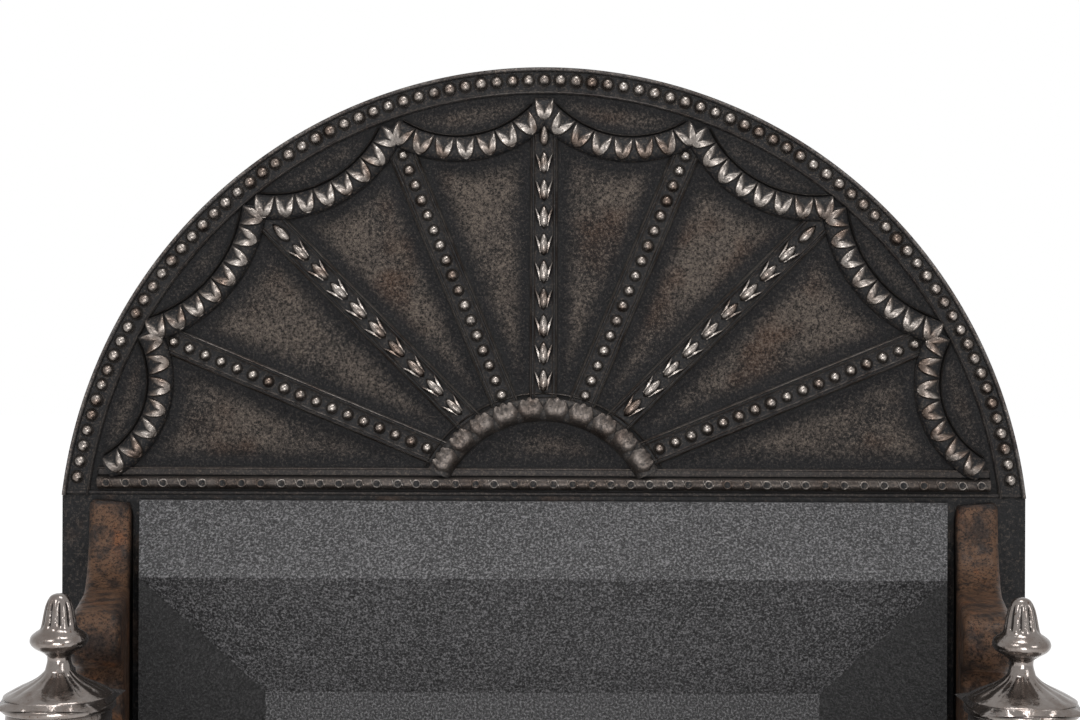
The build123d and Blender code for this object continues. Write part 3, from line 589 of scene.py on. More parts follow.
def ray_strips():
    """The seven rays: a sunk middle between two fine ridges along each border."""
    rays = bpy.context.scene.grate_rays
    boss = bpy.context.scene.grate_boss
    boss_gap, swag_gap = 4.0 * MM, 3.0 * MM
    half, ridge = rays.width / 2, rays.ridge
    # Each point's offset from the ray's middle, its height and its wear
    right = [
        (0.52 * half, 0.5 * MM, 0.0),
        (0.6 * half, 0.9 * MM, 0.1),
        (0.66 * half, 0.72 * ridge, 0.5),
        (0.71 * half, 0.9 * MM, 0.0),
        (0.8 * half, 0.9 * MM, 0.0),
        (0.88 * half, ridge, 0.62),
        (0.94 * half, 0.8 * ridge, 0.4),
        (half, -0.2 * MM, 0.0),
    ]
    right = np.array(right)
    left = right[::-1] * (-1, 1, 1)
    foot = [(half, -2 * MM, 0), (-half, -2 * MM, 0)]
    section = np.concatenate([left, right, foot])
    strips = []
    for number in range(-3, 4):
        angle = number * rays.spread
        low = reach_to_circle(angle, boss.drop, boss.radius + boss_gap)
        high = SWAG_JOINTS[abs(number)] - swag_gap
        strips.append(ray_sweep(angle, low, high, section[:, :2], section[:, 2]))
    return together(strips)


def ray_beads(random):
    """The beads of the odd rays, evenly spaced up to the swags."""
    rays = bpy.context.scene.grate_rays
    floor_height, swag_gap = 0.5 * MM, 18.0 * MM
    bead = bead_in_socket(rays.bead_radius, floor_height)
    rows = []
    for number in (-3, -1, 1, 3):
        first = rays.first_side_bead if abs(number) == 3 else rays.first_bead
        last = SWAG_JOINTS[abs(number)] - swag_gap
        middles = ray_point(number * rays.spread, np.linspace(first, last, rays.beads))
        sizes = random.uniform(0.94, 1.05, rays.beads)
        rows.append(copies(bead, middles, number * rays.spread, sizes))
    return together(rows)


def spindle(spine, radius, rise, wear, segments=8):
    """A body whose round sections stand along a spine of (u, v, h) points.

    Each section is the radius times the cosine across, and the rise times the sine forward.
    """
    around = np.linspace(0, 2 * np.pi, segments, endpoint=False)
    u = spine[:, :1] + radius[:, None] * np.cos(around)
    v = np.broadcast_to(spine[:, 1:2], u.shape)
    h = spine[:, 2:] + rise[:, None] * np.sin(around)
    tops = wear * smooth(np.sin(around), -0.1, 0.8)[None] * np.ones_like(u)
    return closed_grid(np.stack([u, v, h], -1), tops)


def bud():
    """A bell-flower's bud: its radius is the sine of the share of its length, raised to 0.75."""
    rays = bpy.context.scene.grate_rays
    share = np.linspace(0, 1, 9)
    body = np.sin(np.pi * share**0.86) ** 0.75
    level = np.full_like(share, 1.2 * MM)
    spine = np.stack([share * 0, (share - 0.5) * rays.husk_length, level], -1)
    return spindle(spine, rays.husk_radius * body, 1.05 * rays.husk_radius * body, 1.0)


def side_leaf():
    """A bell-flower's side leaf: a thin horn that bows outwards from the bud's foot to a sharp tip.

    Along it the share runs from 0 to 1. It goes outwards with the share to the 1.6, and straight
    up and forward with the share.
    """
    share = np.linspace(0, 1, 7)
    body = np.sin(np.pi * (0.12 + 0.88 * share)) ** 0.8
    across = (2.3 + 3.6 * share**1.6) * MM
    along = (-6.0 + 12.5 * share) * MM
    spine = np.stack([across, along, 0.9 * MM + 1.2 * MM * share], -1)
    return spindle(spine, 1.25 * MM * body, 1.9 * MM * body, 0.85, segments=6)


def husk_rows(random):
    """The bell-flowers of the even rays: a bud between two leaves, and a lone bud outermost."""
    rays = bpy.context.scene.grate_rays
    side_ray_shift = 7.0 * MM
    flower = together([bud(), both_sides(side_leaf())])
    rows = []
    for number in (-2, 0, 2):
        angle = number * rays.spread
        last = rays.last_husk + (side_ray_shift if number else 0)
        middles = ray_point(angle, last - rays.husk_pitch * np.arange(rays.husks))
        sizes = random.uniform(0.95, 1.04, rays.husks)
        rows.append(copies(bud(), middles[:1], angle, sizes[:1]))
        rows.append(copies(flower, middles[1:], angle, sizes[1:]))
    return together(rows)


def roll_height_at(offset, half_width, height):
    """The height of a half-round roll at an offset from its middle."""
    return height * np.sqrt(np.clip(1 - (offset / half_width) ** 2, 0, 1))


def swag_rolls():
    """The dark rolls under the leaves, and the thin ridge along their outer side."""
    swags = bpy.context.scene.grate_swags
    ridge_half_width, ridge_height = 0.75 * MM, 1.7 * MM
    ridge_wear = np.array([0.1, 0.5, 0.75, 0.5, 0.1, 0, 0])
    section = half_round(swags.roll_half_width, swags.roll_height, 11)
    ridge = half_round(ridge_half_width, ridge_height, 5) + (swags.border_offset, 0)
    parts = []
    for path, normals in swag_paths():
        parts.append(swept(section, path, normals, 0.0))
        parts.append(swept(ridge, path[1:-1], normals[1:-1], ridge_wear))
    return both_sides(together(parts))


def tongue_leaf():
    """A swag's leaf: a tongue with two swollen lobes, a fine rim and a notch at its base.

    Across it a runs from -1 to 1, and along it b from 0 at the base to 1 at the tip. Its half width
    is (1 - b to the 3.2) to the 0.55, its lobes rise as the root of (1 - a to the fourth), and the
    notch is a V, nearly as wide as the leaf at its base, that closes at notch_end along it.
    """
    swags = bpy.context.scene.grate_swags
    a, b = np.meshgrid(np.linspace(-1, 1, 21), np.linspace(0, 1, 13), indexing="ij")
    half = swags.leaf_width / 2 * (1 - b**3.2) ** 0.55
    base_inset, rim_height, lift = 0.6 * MM, 0.35 * MM, 0.45 * MM
    notch_end = 0.66
    v = swags.roll_half_width - base_inset - b * swags.leaf_length
    inside = 0.86 * (1 - b / notch_end) + 0.05 * np.sin(9 * b) - np.abs(a)
    notch = smooth(inside, -0.12, 0.14)
    lobes = np.sqrt(1 - a**4) * (0.6 + 0.4 * np.sin(np.pi * b**0.8))
    edge = np.maximum(np.abs(a), b**3)
    rim = smooth(edge, 0.66, 0.84) * (1 - smooth(edge, 0.93, 1.0))
    rise = swags.leaf_height * (lobes - 0.8 * notch) + rim_height * rim
    surface = roll_height_at(v, swags.roll_half_width, swags.roll_height)
    front = np.stack([half * a, v, surface + lift + rise], -1)
    back = np.stack([half * a, v, surface - LEAF_SINK], -1)
    wear = (0.68 * smooth(lobes, 0.2, 0.75) + 0.5 * rim) * (1 - notch)
    return slab(front, back, wear * smooth(b, -0.1, 0.3))


def swag_leaves(random):
    """The leaves along the swags, their tips towards the fan's middle, and one at the apex.

    They stand at equal steps along a swag, half a step from its ends, and a whole one from the
    apex, whose own leaf takes the other half.
    """
    swags = bpy.context.scene.grate_swags
    leaf = tongue_leaf()
    middles, turns = [], []
    for number, (path, normals) in enumerate(swag_paths(200)):
        steps = np.hypot(*np.diff(path, axis=0).T)
        run = np.concatenate([[0], np.cumsum(steps)])
        apex_share = 0.5 if number == 0 else 0.0
        leaves = round(run[-1] / swags.leaf_pitch - apex_share)
        pitch = run[-1] / (leaves + apex_share)
        at = np.searchsorted(run, pitch * (np.arange(leaves) + 0.5 + apex_share))
        middles.append(path[at])
        turns.append(np.arctan2(normals[at, 0], normals[at, 1]))
    middles, turns = np.concatenate(middles), np.concatenate(turns)
    sides = both_sides(copies(leaf, middles, turns, random.uniform(0.96, 1.04, len(turns))))
    apex = copies(leaf, [(0, SWAG_JOINTS[0])], 0.0)
    return together([sides, apex])


def boss_arc(radius, foot):
    """Points and outward directions on an arc about the boss's centre, which lies below the seam.

    Its ends stand a foot's height above the seam, so the cosine of its end angle is the drop plus
    the foot, over the radius.
    """
    drop = bpy.context.scene.grate_boss.drop
    end = np.arccos((drop + foot) / radius)
    outwards = ray_point(np.linspace(-end, end, 61), 1.0)
    return radius * outwards - (0, drop), outwards


def boss_ring():
    """The boss's roll, and the thin ridge outside it."""
    boss = bpy.context.scene.grate_boss
    roll_foot, ridge_foot = 15.0 * MM, 20.0 * MM
    ridge_gap, ridge_half_width, ridge_height = 2.2 * MM, 0.8 * MM, 1.5 * MM
    ridge_wear = np.array([0.1, 0.4, 0.6, 0.4, 0.1, 0, 0])
    roll_section = half_round(boss.roll_half_width, boss.roll_height, 11)
    roll = swept(roll_section, *boss_arc(boss.radius, roll_foot), 0.25)
    ridge_radius = boss.radius + boss.roll_half_width + ridge_gap
    ridge_section = half_round(ridge_half_width, ridge_height, 5)
    ridge = swept(ridge_section, *boss_arc(ridge_radius, ridge_foot), ridge_wear)
    return together([roll, ridge])


def leaf_clump():
    """A clump of the boss: it widens outwards over the roll to an edge with three ruffled lobes.

    The outer edge's reach and height both follow the cosine of one and a half half-turns of a.
    """
    boss = bpy.context.scene.grate_boss
    a, b = np.meshgrid(np.linspace(-1, 1, 15), np.linspace(0, 1, 9), indexing="ij")
    lobes = np.abs(np.cos(1.5 * np.pi * a))
    half = (5.4 + 2.9 * smooth(b, 0.0, 0.8) - 0.8 * smooth(b, 0.85, 1.0)) * MM
    v = (-7.6 + 13.6 * b + (2.3 * lobes - 2.6 * a**2) * smooth(b, 0.3, 1.0)) * MM
    surface = roll_height_at(v, boss.roll_half_width, boss.roll_height)
    crown = np.sqrt(1 - 0.85 * a**2)
    rise = (0.5 + 1.4 * crown * np.sin(np.pi * np.clip(b * 1.3, 0, 0.5)) + 1.5 * b * lobes * b) * MM
    front = np.stack([half * a, v, surface + rise], -1)
    back = np.stack([half * a, v, surface - LEAF_SINK], -1)
    wear = 0.3 + 0.25 * np.sin(np.pi * b) * crown + 0.5 * smooth(b, 0.7, 1.0) * lobes
    return slab(front, back, wear)


def boss_leaves(random):
    """The clumps of leaves round the boss."""
    boss = bpy.context.scene.grate_boss
    angle = np.linspace(-boss.clump_end, boss.clump_end, boss.clumps)
    middles = ray_point(angle, boss.radius) - (0, boss.drop)
    sizes = random.uniform(0.95, 1.05, boss.clumps)
    return copies(leaf_clump(), middles, angle + random.uniform(-0.05, 0.05, boss.clumps), sizes)


def base_mouldings():
    """The fine line, plain band, round moulding and ledge along the seam."""
    base = bpy.context.scene.grate_base
    middle, radius = base.roll_height, base.roll_radius
    lean = np.linspace(np.radians(200), np.radians(-20), 12)
    roll = np.stack([middle + radius * np.cos(lean), ROLL_LIFT + radius * np.sin(lean)], -1)
    low = np.array([(3.0, -1.0), (3.2, 0.0)]) * MM
    band = np.array([(13.4, 0.7), (14.0, 0.9), (17.3, 0.9)]) * MM
    line = np.array([(17.8, 1.5), (18.3, 1.5), (18.8, 0.7), (19.4, -1.0)]) * MM
    section = np.concatenate([low, roll, band, line])
    wear = np.interp(section[:, 1], np.array([0.5, 0.9, 1.5, 4.0]) * MM, [0, 0.2, 0.32, 0.42])
    ledge = np.array([(0.5, -1), (0.6, 0.7), (1.0, 1.1), (2.4, 1.1), (2.9, 0.6), (3.0, -1)]) * MM
    ledge_half = HALF_WIDTH - 1.0 * MM
    normals = np.array([(0.0, 1.0), (0.0, 1.0)])
    ends = np.array([(-1.0, 0.0), (1.0, 0.0)])
    mouldings = swept(section, base.half_length * ends, normals, wear)
    return together([mouldings, swept(ledge, ledge_half * ends, normals, 0.12)])


def base_rings(random):
    """The small rings struck on the round moulding, each with two tails that wind round it.

    A ring is a section turned about its own middle and laid on the moulding's round face, which
    stands at the root of its radius squared less v squared. A tail bows outwards as it leaves.
    """
    base = bpy.context.scene.grate_base
    share = np.array([0, 0.72, 0.88, 1.0, 1.12, 1.2, 1.2, 0])
    rise = np.array([0.1, 0.1, 0.45, 0.6, 0.4, -0.1, -0.8, -0.8]) * MM
    wear = np.array([0, 0, 0.6, 1.0, 0.5, 0, 0, 0])
    around = np.linspace(0, 2 * np.pi, 14, endpoint=False)
    u = base.ring_radius * share[:, None] * np.cos(around)
    v = base.ring_radius * share[:, None] * np.sin(around)
    face = np.sqrt(base.roll_radius**2 - v**2) + ROLL_LIFT
    ring = closed_grid(np.stack([u, v, face + rise[:, None]], -1), wear[:, None])
    run = np.linspace(0, 1, 6)
    along = (1.2 - 5.2 * run) * MM
    across = base.ring_radius * 0.96 + 2.0 * MM * run**1.5
    height = np.sqrt(base.roll_radius**2 - along**2) + ROLL_LIFT
    thickness = 0.42 * MM * np.sin(np.pi * (0.15 + 0.85 * run)) ** 0.5
    spine = np.stack([across, along, height], -1)
    tail = spindle(spine, thickness, 1.2 * thickness, 0.8, segments=6)
    other = tail._replace(points=tail.points * (-1, -1, 1))
    end_gap = 6.0 * MM
    places = np.linspace(-1, 1, base.rings) * (base.half_length - end_gap)
    places = places + random.uniform(-0.6, 0.6, base.rings) * MM
    middles = np.stack([places, np.full(base.rings, base.roll_height)], -1)
    return copies(together([ring, tail, other]), middles, 0.0)


# Urns and rosettes

def smooth_curve(points):
    """A smooth curve through the points.

    Between two of them it is the cubic whose slope at each is half the step from the point before
    to the point after. At the ends the point itself stands in for the missing one.
    """
    points = np.asarray(points, float)
    padded = np.concatenate([points[:1], points, points[-1:]])
    p0, p1, p2, p3 = padded[:-3, None], padded[1:-2, None], padded[2:-1, None], padded[3:, None]
    t = np.linspace(0, 1, 5, endpoint=False)[None, :, None]
    curve = 0.5 * (2 * p1 + (p2 - p0) * t + (2 * p0 - 5 * p1 + 4 * p2 - p3) * t**2
                   + (3 * p1 - p0 - 3 * p2 + p3) * t**3)
    return np.concatenate([curve.reshape(-1, points.shape[1]), points[-1:]])


def turned(node, profile, flutes, square_top=0.0):
    """A turned piece on a node's own axis, its radius cut by flutes.

    The profile holds radii and heights in millimetres. flutes holds (low, high, number, depth):
    between two heights the radius is less by the depth times one less the sine of that many half
    turns, faded in at both ends. Up to square_top it is square.
    """
    segments = 120
    low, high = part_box(node)
    centre = (low + high) / 2
    radius, height = profile.T * MM
    around = np.linspace(0, 2 * np.pi, segments, endpoint=False)
    cut = np.zeros((len(height), segments))
    for bottom, top, number, depth in flutes:
        fade = 0.22 * (top - bottom) * MM
        window = smooth(height, bottom * MM, bottom * MM + fade)
        window = window * (1 - smooth(height, top * MM - fade, top * MM))
        cut += depth * window[:, None] * (1 - np.abs(np.sin(number * around / 2)))
    squared = 1 / np.maximum(np.abs(np.cos(around)), np.abs(np.sin(around)))
    plan = np.where(height[:, None] <= square_top * MM, squared, 1.0)
    reach = radius[:, None] * plan * (1 - cut)
    x = centre.x + reach * np.cos(around)
    y = centre.y + reach * np.sin(around)
    z = np.broadcast_to(low.z + height[:, None], x.shape)
    wear = 1 - 0.85 * smooth(cut, 0.03, 0.11)
    return closed_grid(np.stack([x, y, z], -1), wear)


def urn_lid(side):
    """An urn's lid: gadrooned skirt, thin neck, turned collar and fluted acorn with a round tip."""
    skirt = smooth_curve(
        [(26, 2.6), (25.4, 3.6), (20.0, 6.6), (14.0, 9.4), (9.6, 12.0), (6.7, 14.8)]
    )
    neck = smooth_curve([(6.7, 14.8), (5.7, 18.6), (5.6, 20.6), (6.2, 22.2), (8.6, 24.0)])
    collar = smooth_curve(
        [(8.6, 24.0), (11.6, 25.8), (13.3, 27.6), (13.8, 29.6), (13.0, 31.8), (10.9, 33.6)]
    )
    acorn = smooth_curve(
        [(9.3, 34.6), (8.6, 35.8), (7.9, 39.0), (7.3, 42.4), (6.4, 46.2), (5.3, 49.0)]
    )
    tip = smooth_curve([(5.3, 49.0), (4.0, 50.8), (2.2, 51.7), (0.0, 52.0)])
    profile = np.concatenate([[(0, 0), (26, 0)], skirt, neck, collar, acorn, tip])
    flutes = [(3.6, 15.5, 16, 0.05), (34.4, 50.4, 10, 0.12)]
    return turned(f"{side}_urn_lid", profile, flutes)


def urn_body(side):
    """An urn's body: square plinth, turned foot, gadrooned bowl and plain rim."""
    plinth = [(0, 0), (17, 0), (17, 0), (17, 7.3), (16.3, 8.0), (15.4, 8.0)]
    foot = smooth_curve([(15, 8.1), (15, 10.6), (14.2, 11.4), (8.6, 14.2), (6.5, 18.6)])
    knop = smooth_curve([(6.5, 18.6), (9.0, 19.8), (9.4, 21.0), (8.2, 22.2)])
    bowl = smooth_curve(
        [(8.2, 22.2), (13.5, 25.6), (20.3, 34.0), (24.0, 45.0), (25.0, 54.0), (24.6, 58.6)]
    )
    rim = [(26.4, 59.2), (27, 59.8), (27, 62.4), (26.4, 63.0), (0, 63.0)]
    profile = np.concatenate([plinth, foot, knop, bowl, rim])
    return turned(f"{side}_urn", profile, [(22.6, 47.0, 20, 0.085)], square_top=8.0)


def rosettes():
    """The four round bolt heads: a button inside a ring of petals, turned about the bolt's axis.

    The petals' height and reach both follow the sine of half their number of turns.
    """
    petals = 10
    low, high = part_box("patera_bolts")
    standard_low, standard_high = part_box("right_standard")
    centre_x = (standard_low.x + standard_high.x) / 2
    radius = high.x - centre_x
    around = np.linspace(0, 2 * np.pi, 80, endpoint=False)
    petal = np.abs(np.sin(petals * around / 2))[None] ** 0.6
    share = np.array([0, 0.14, 0.24, 0.29, 0.33, 0.45, 0.62, 0.78, 0.9, 0.97, 1.0, 1.0, 0])[:, None]
    rise = np.array([6.0, 5.8, 4.9, 3.9, 3.0, 3.4, 3.9, 3.7, 2.9, 2.2, 1.4, 0.0, 0.0])[:, None] * MM
    leafy = smooth(share, 0.3, 0.5) * (1 - smooth(share, 0.97, 1.0))
    rise = rise * (1 - 0.35 * leafy * (1 - petal))
    reach = radius * share * (1 - 0.1 * smooth(share, 0.5, 0.95) * (1 - petal))
    wear = np.broadcast_to(1 - 0.8 * leafy * (1 - petal), reach.shape)
    seat = low.y + rise.max()
    heads = []
    for x in (-centre_x, centre_x):
        for z in (low.z + radius, high.z - radius):
            points = [x + reach * np.cos(around), seat - rise, z + reach * np.sin(around)]
            points = np.stack([np.broadcast_to(axis, reach.shape) for axis in points], -1)
            heads.append(closed_grid(points, wear))
    return together(heads)


# Finishes

class Finish:
    """One material's nodes. Every pattern reads the piece's own Object coordinates.

    Its base is one of the user's colours, and other colours are laid over it.
    """

    def __init__(self, name, base):
        self.material = bpy.data.materials.new(name)
        self.material.use_nodes = True
        self.nodes = self.material.node_tree.nodes
        self.links = self.material.node_tree.links
        self.shader = self.nodes["Principled BSDF"]
        self.place = self.nodes.new("ShaderNodeTexCoord").outputs["Object"]
        self.base = self.tint(base)

    def tint(self, name, brightness=1.0):
        """One of the user's colours, made brighter or darker."""
        return tuple(brightness * part for part in getattr(bpy.context.scene.grate_colours, name))

    def join(self, value, socket):
        """Links an output to a socket, or sets a plain value on it."""
        if isinstance(value, bpy.types.NodeSocket):
            self.links.new(value, socket)
        else:
            socket.default_value = value

    def grain(self, size, detail=3.0, roughness=0.6):
        """Fractal noise with grains of about this size, from 0 to 1."""
        noise = self.nodes.new("ShaderNodeTexNoise")
        self.join(self.place, noise.inputs["Vector"])
        noise.inputs["Scale"].default_value = 1 / size
        noise.inputs["Detail"].default_value = detail
        noise.inputs["Roughness"].default_value = roughness
        return noise.outputs[0]

    def step(self, value, low, high, start=0.0, end=1.0):
        """A smooth step from start to end as the value goes from low to high."""
        node = self.nodes.new("ShaderNodeMapRange")
        node.interpolation_type = "SMOOTHSTEP"
        for number, part in enumerate((value, low, high, start, end)):
            self.join(part, node.inputs[number])
        return node.outputs[0]

    def patches(self, size, low, high, start=0.0, end=1.0, detail=3.0, roughness=0.6):
        """Patches of about this size: a smooth step where fractal noise goes from low to high."""
        return self.step(self.grain(size, detail, roughness), low, high, start, end)

    def maths(self, operation, first, second):
        """One sum on two values, kept from 0 to 1."""
        node = self.nodes.new("ShaderNodeMath")
        node.operation = operation
        node.use_clamp = True
        self.join(first, node.inputs[0])
        self.join(second, node.inputs[1])
        return node.outputs[0]

    def times(self, first, second):
        """The product of two values."""
        return self.maths("MULTIPLY", first, second)

    def plus(self, first, second):
        """The sum of two values."""
        return self.maths("ADD", first, second)

    def mix(self, factor, first, second):
        """A colour between two colours."""
        node = self.nodes.new("ShaderNodeMix")
        node.data_type = "RGBA"
        # Inputs 6 and 7 are the node's two colours
        for value, number in ((factor, 0), (first, 6), (second, 7)):
            self.join(value, node.inputs[number])
        return node.outputs[2]

    def lay(self, name, amount, brightness=1.0):
        """Lays one of the user's colours over the base, in an amount from 0 to 1."""
        self.base = self.mix(amount, self.base, self.tint(name, brightness))

    def paint_shade_in_hollows(self, unshaded_share):
        """Lays painted shade, in the soot colour, over the base in all but the open share."""
        self.base = self.mix(unshaded_share, self.tint("soot_and_shade"), self.base)

    def wear(self):
        """The piece's own wear, from 0 in its hollows to 1 on its tops."""
        node = self.nodes.new("ShaderNodeAttribute")
        node.attribute_name = "wear"
        return node.outputs["Fac"]

    def unshaded_share(self, reach, low=0.3, high=0.9):
        """A smooth step from 0 to 1 as a place's openness within a reach goes from low to high: the
        mask of painted shade.
        """
        node = self.nodes.new("ShaderNodeAmbientOcclusion")
        node.samples = 5
        node.inputs["Distance"].default_value = reach
        return self.step(node.outputs["AO"], low, high)

    def sideways(self):
        """How far the surface faces left or right, from 0 to 1."""
        plain = self.nodes.new("ShaderNodeNewGeometry")
        parts = self.nodes.new("ShaderNodeSeparateXYZ")
        self.join(plain.outputs["Normal"], parts.inputs[0])
        return self.maths("ABSOLUTE", parts.outputs["X"], 0.0)

    def rounded_edges(self, radius):
        """Normals softened round the edges, and how far they turn there, from 0 on flat faces."""
        soft = self.nodes.new("ShaderNodeBevel")
        soft.samples = 6
        soft.inputs["Radius"].default_value = radius
        plain = self.nodes.new("ShaderNodeNewGeometry")
        dot = self.nodes.new("ShaderNodeVectorMath")
        dot.operation = "DOT_PRODUCT"
        self.join(soft.outputs["Normal"], dot.inputs[0])
        self.join(plain.outputs["Normal"], dot.inputs[1])
        return soft.outputs["Normal"], self.maths("SUBTRACT", 1.0, dot.outputs["Value"])

    def bumps(self, *layers, under=None):
        """Bump layers, each a height pattern and a depth in metres, over softened normals if given."""
        normal = under
        for height, depth in layers:
            node = self.nodes.new("ShaderNodeBump")
            node.inputs["Distance"].default_value = depth
            self.join(height, node.inputs["Height"])
            if normal:
                self.join(normal, node.inputs["Normal"])
            normal = node.outputs["Normal"]
        self.join(normal, self.shader.inputs["Normal"])

    def surface(self, roughness, metallic=0.0, specular=0.5):
        """Sets the shader's main sockets and returns the material."""
        self.join(self.base, self.shader.inputs["Base Color"])
        self.join(roughness, self.shader.inputs["Roughness"])
        self.join(metallic, self.shader.inputs["Metallic"])
        self.shader.inputs["Specular IOR Level"].default_value = specular
        return self.material


def ground_iron():
    """The carving's ground: charcoal iron, speckled grey-brown where rubbed, with rust specks and
    painted shade in its hollows.
    """
    finish = Finish("rubbed_ground", "charcoal")
    rubbed = finish.wear()
    bloom = finish.times(rubbed, finish.patches(34 * MM, 0.3, 0.62, 0.2, 0.78))
    stain = finish.patches(46 * MM, 0.5, 0.7, detail=2.0)
    tone = finish.mix(stain, finish.tint("rubbed"), finish.tint("umber"))
    finish.base = finish.mix(bloom, finish.base, tone)
    fine = finish.grain(1.6 * MM, roughness=0.85)
    crests = finish.step(fine, 0.52, 0.64, 0.0, 0.6)
    finish.lay("rubbed", finish.times(crests, finish.plus(rubbed, 0.3)), brightness=1.6)
    finish.lay("soot_and_shade", finish.step(fine, 0.4, 0.5, 0.95, 0.0))
    flecks = finish.patches(5 * MM, 0.7, 0.78, detail=5.0, roughness=0.75)
    finish.lay("rust", finish.times(flecks, rubbed))
    # Painted shade: the soot colour where the ground is closed in.
    finish.paint_shade_in_hollows(finish.unshaded_share(6 * MM, 0.35, 0.95))
    finish.bumps((finish.grain(9 * MM, detail=2.0), 0.5 * MM), (fine, 0.4 * MM))
    return finish.surface(finish.patches(8 * MM, 0.2, 0.8, 0.45, 0.65), specular=0.08)


def worn_iron(name, brightness, brown=0.0):
    """Carving rubbed bright on its tops: silver where it wears, grainy charcoal and painted shade in
    its hollows.

    Its silver follows the piece's wear, times its tarnish, its pits and its openness, whose lack is
    painted shade. Its silver is never less brown than the share given.
    """
    finish = Finish(name, "charcoal")
    fine = finish.grain(1.5 * MM, roughness=0.8)
    tarnish = finish.patches(3.5 * MM, 0.32, 0.6, detail=4.0, roughness=0.7)
    pits = finish.step(fine, 0.33, 0.45)
    wear_and_shade = finish.times(finish.wear(), finish.plus(tarnish, 0.45))
    wear_and_shade = finish.times(wear_and_shade, finish.plus(pits, 0.35))
    # Painted shade: the silver dims where the place is closed in.
    wear_and_shade = finish.times(wear_and_shade, finish.unshaded_share(3.5 * MM, 0.25, 0.85))
    warm = finish.patches(22 * MM, 0.42, 0.66, brown, 0.75, detail=2.0)
    silver = finish.mix(warm, finish.tint("silver"), finish.tint("umber"))
    finish.lay("rubbed", finish.step(fine, 0.5, 0.66, 0.0, 0.6))
    # Painted shade: the soot colour in the hollows.
    finish.paint_shade_in_hollows(finish.unshaded_share(2.5 * MM))
    finish.base = finish.mix(finish.times(wear_and_shade, brightness), finish.base, silver)
    finish.bumps((finish.grain(2.6 * MM), 0.16 * MM), (fine, 0.18 * MM))
    roughness = finish.step(wear_and_shade, 0.0, 1.0, 0.5, 0.25)
    return finish.surface(roughness, finish.step(wear_and_shade, 0.05, 0.5), specular=0.12)


def cast_black():
    """Blackened cast iron with a fine sand-cast skin, bright grains and a few brown stains."""
    finish = Finish("blackened_casting", "charcoal")
    finish.lay("umber", finish.patches(40 * MM, 0.52, 0.75, 0.0, 0.6, detail=4.0))
    skin = finish.grain(2.0 * MM, roughness=0.85)
    finish.lay("rubbed", finish.step(skin, 0.52, 0.66, 0.0, 0.5))
    finish.lay("soot_and_shade", finish.step(skin, 0.38, 0.5, 0.9, 0.0))
    finish.bumps((finish.grain(7 * MM, detail=2.0), 0.5 * MM), (skin, 0.4 * MM))
    return finish.surface(finish.patches(12 * MM, 0.25, 0.75, 0.42, 0.62), specular=0.12)


def fireback_iron():
    """The fireback: granular graphite-polished iron, with painted shade on its splayed sides."""
    finish = Finish("granular_casting", "graphite")
    finish.lay("graphite", finish.patches(60 * MM, 0.3, 0.7), brightness=0.75)
    skin = finish.grain(1.5 * MM, roughness=0.8)
    finish.lay("sparkle", finish.step(skin, 0.5, 0.62, 0.0, 0.85))
    finish.lay("soot_and_shade", finish.step(skin, 0.38, 0.5, 0.9, 0.0))
    # Painted shade: the soot colour on faces turned to the left or right.
    finish.lay("soot_and_shade", finish.step(finish.sideways(), 0.12, 0.3, 0.0, 0.78))
    finish.bumps((finish.grain(5 * MM, detail=2.0), 0.8 * MM), (skin, 0.7 * MM))
    return finish.surface(finish.patches(3 * MM, 0.3, 0.7, 0.34, 0.5), specular=0.25)


def heat_browned():
    """The cheeks: heat-browned iron with soot patches and thin rust, darker along their edges, and
    painted shade in their hollows.
    """
    finish = Finish("browned_casting", "heat_brown")
    finish.lay("rust", finish.patches(26 * MM, 0.52, 0.72, 0.0, 0.6, detail=5.0, roughness=0.65))
    finish.lay("charcoal", finish.patches(15 * MM, 0.42, 0.62, 0.0, 0.8, detail=6.0, roughness=0.7))
    skin = finish.grain(1.8 * MM, roughness=0.85)
    finish.lay("soot_and_shade", finish.step(skin, 0.38, 0.52, 0.9, 0.0))
    finish.lay("rubbed", finish.step(skin, 0.56, 0.68, 0.0, 0.35))
    rounded, edge = finish.rounded_edges(6.0 * MM)
    finish.lay("charcoal", finish.step(edge, 0.004, 0.08, 0.0, 0.85))
    # Painted shade: the soot colour in the hollows.
    finish.paint_shade_in_hollows(finish.unshaded_share(10 * MM))
    finish.bumps((finish.grain(8 * MM), 0.7 * MM), (skin, 0.2 * MM), under=rounded)
    return finish.surface(finish.patches(6 * MM, 0.3, 0.7, 0.36, 0.58), specular=0.12)


def polished(name, worn_tops):
    """Polished steel with dark pits, tarnish, old blacking left in its hollows, and painted shade
    where it is closed in.
    """
    finish = Finish(name, "steel")
    tarnish = finish.patches(9 * MM, 0.42, 0.68, detail=5.0, roughness=0.7)
    pits = finish.patches(1.3 * MM, 0.6, 0.72)
    dark = finish.maths("MAXIMUM", finish.times(tarnish, 0.4), pits)
    finish.lay("umber", dark)
    # Painted shade: the soot colour where the place is closed in; on pieces with worn tops it also
    # marks old blacking where the wear is low.
    unshaded_clean_share = finish.unshaded_share(5 * MM)
    if worn_tops:
        unshaded_clean_share = finish.times(unshaded_clean_share, finish.step(finish.wear(), 0.0, 0.8))
    finish.paint_shade_in_hollows(unshaded_clean_share)
    fine = finish.grain(1.2 * MM, detail=2.0)
    finish.bumps((finish.grain(5 * MM, detail=2.0), 0.25 * MM), (fine, 0.06 * MM))
    return finish.surface(finish.step(dark, 0.0, 1.0, 0.17, 0.42), 0.95)


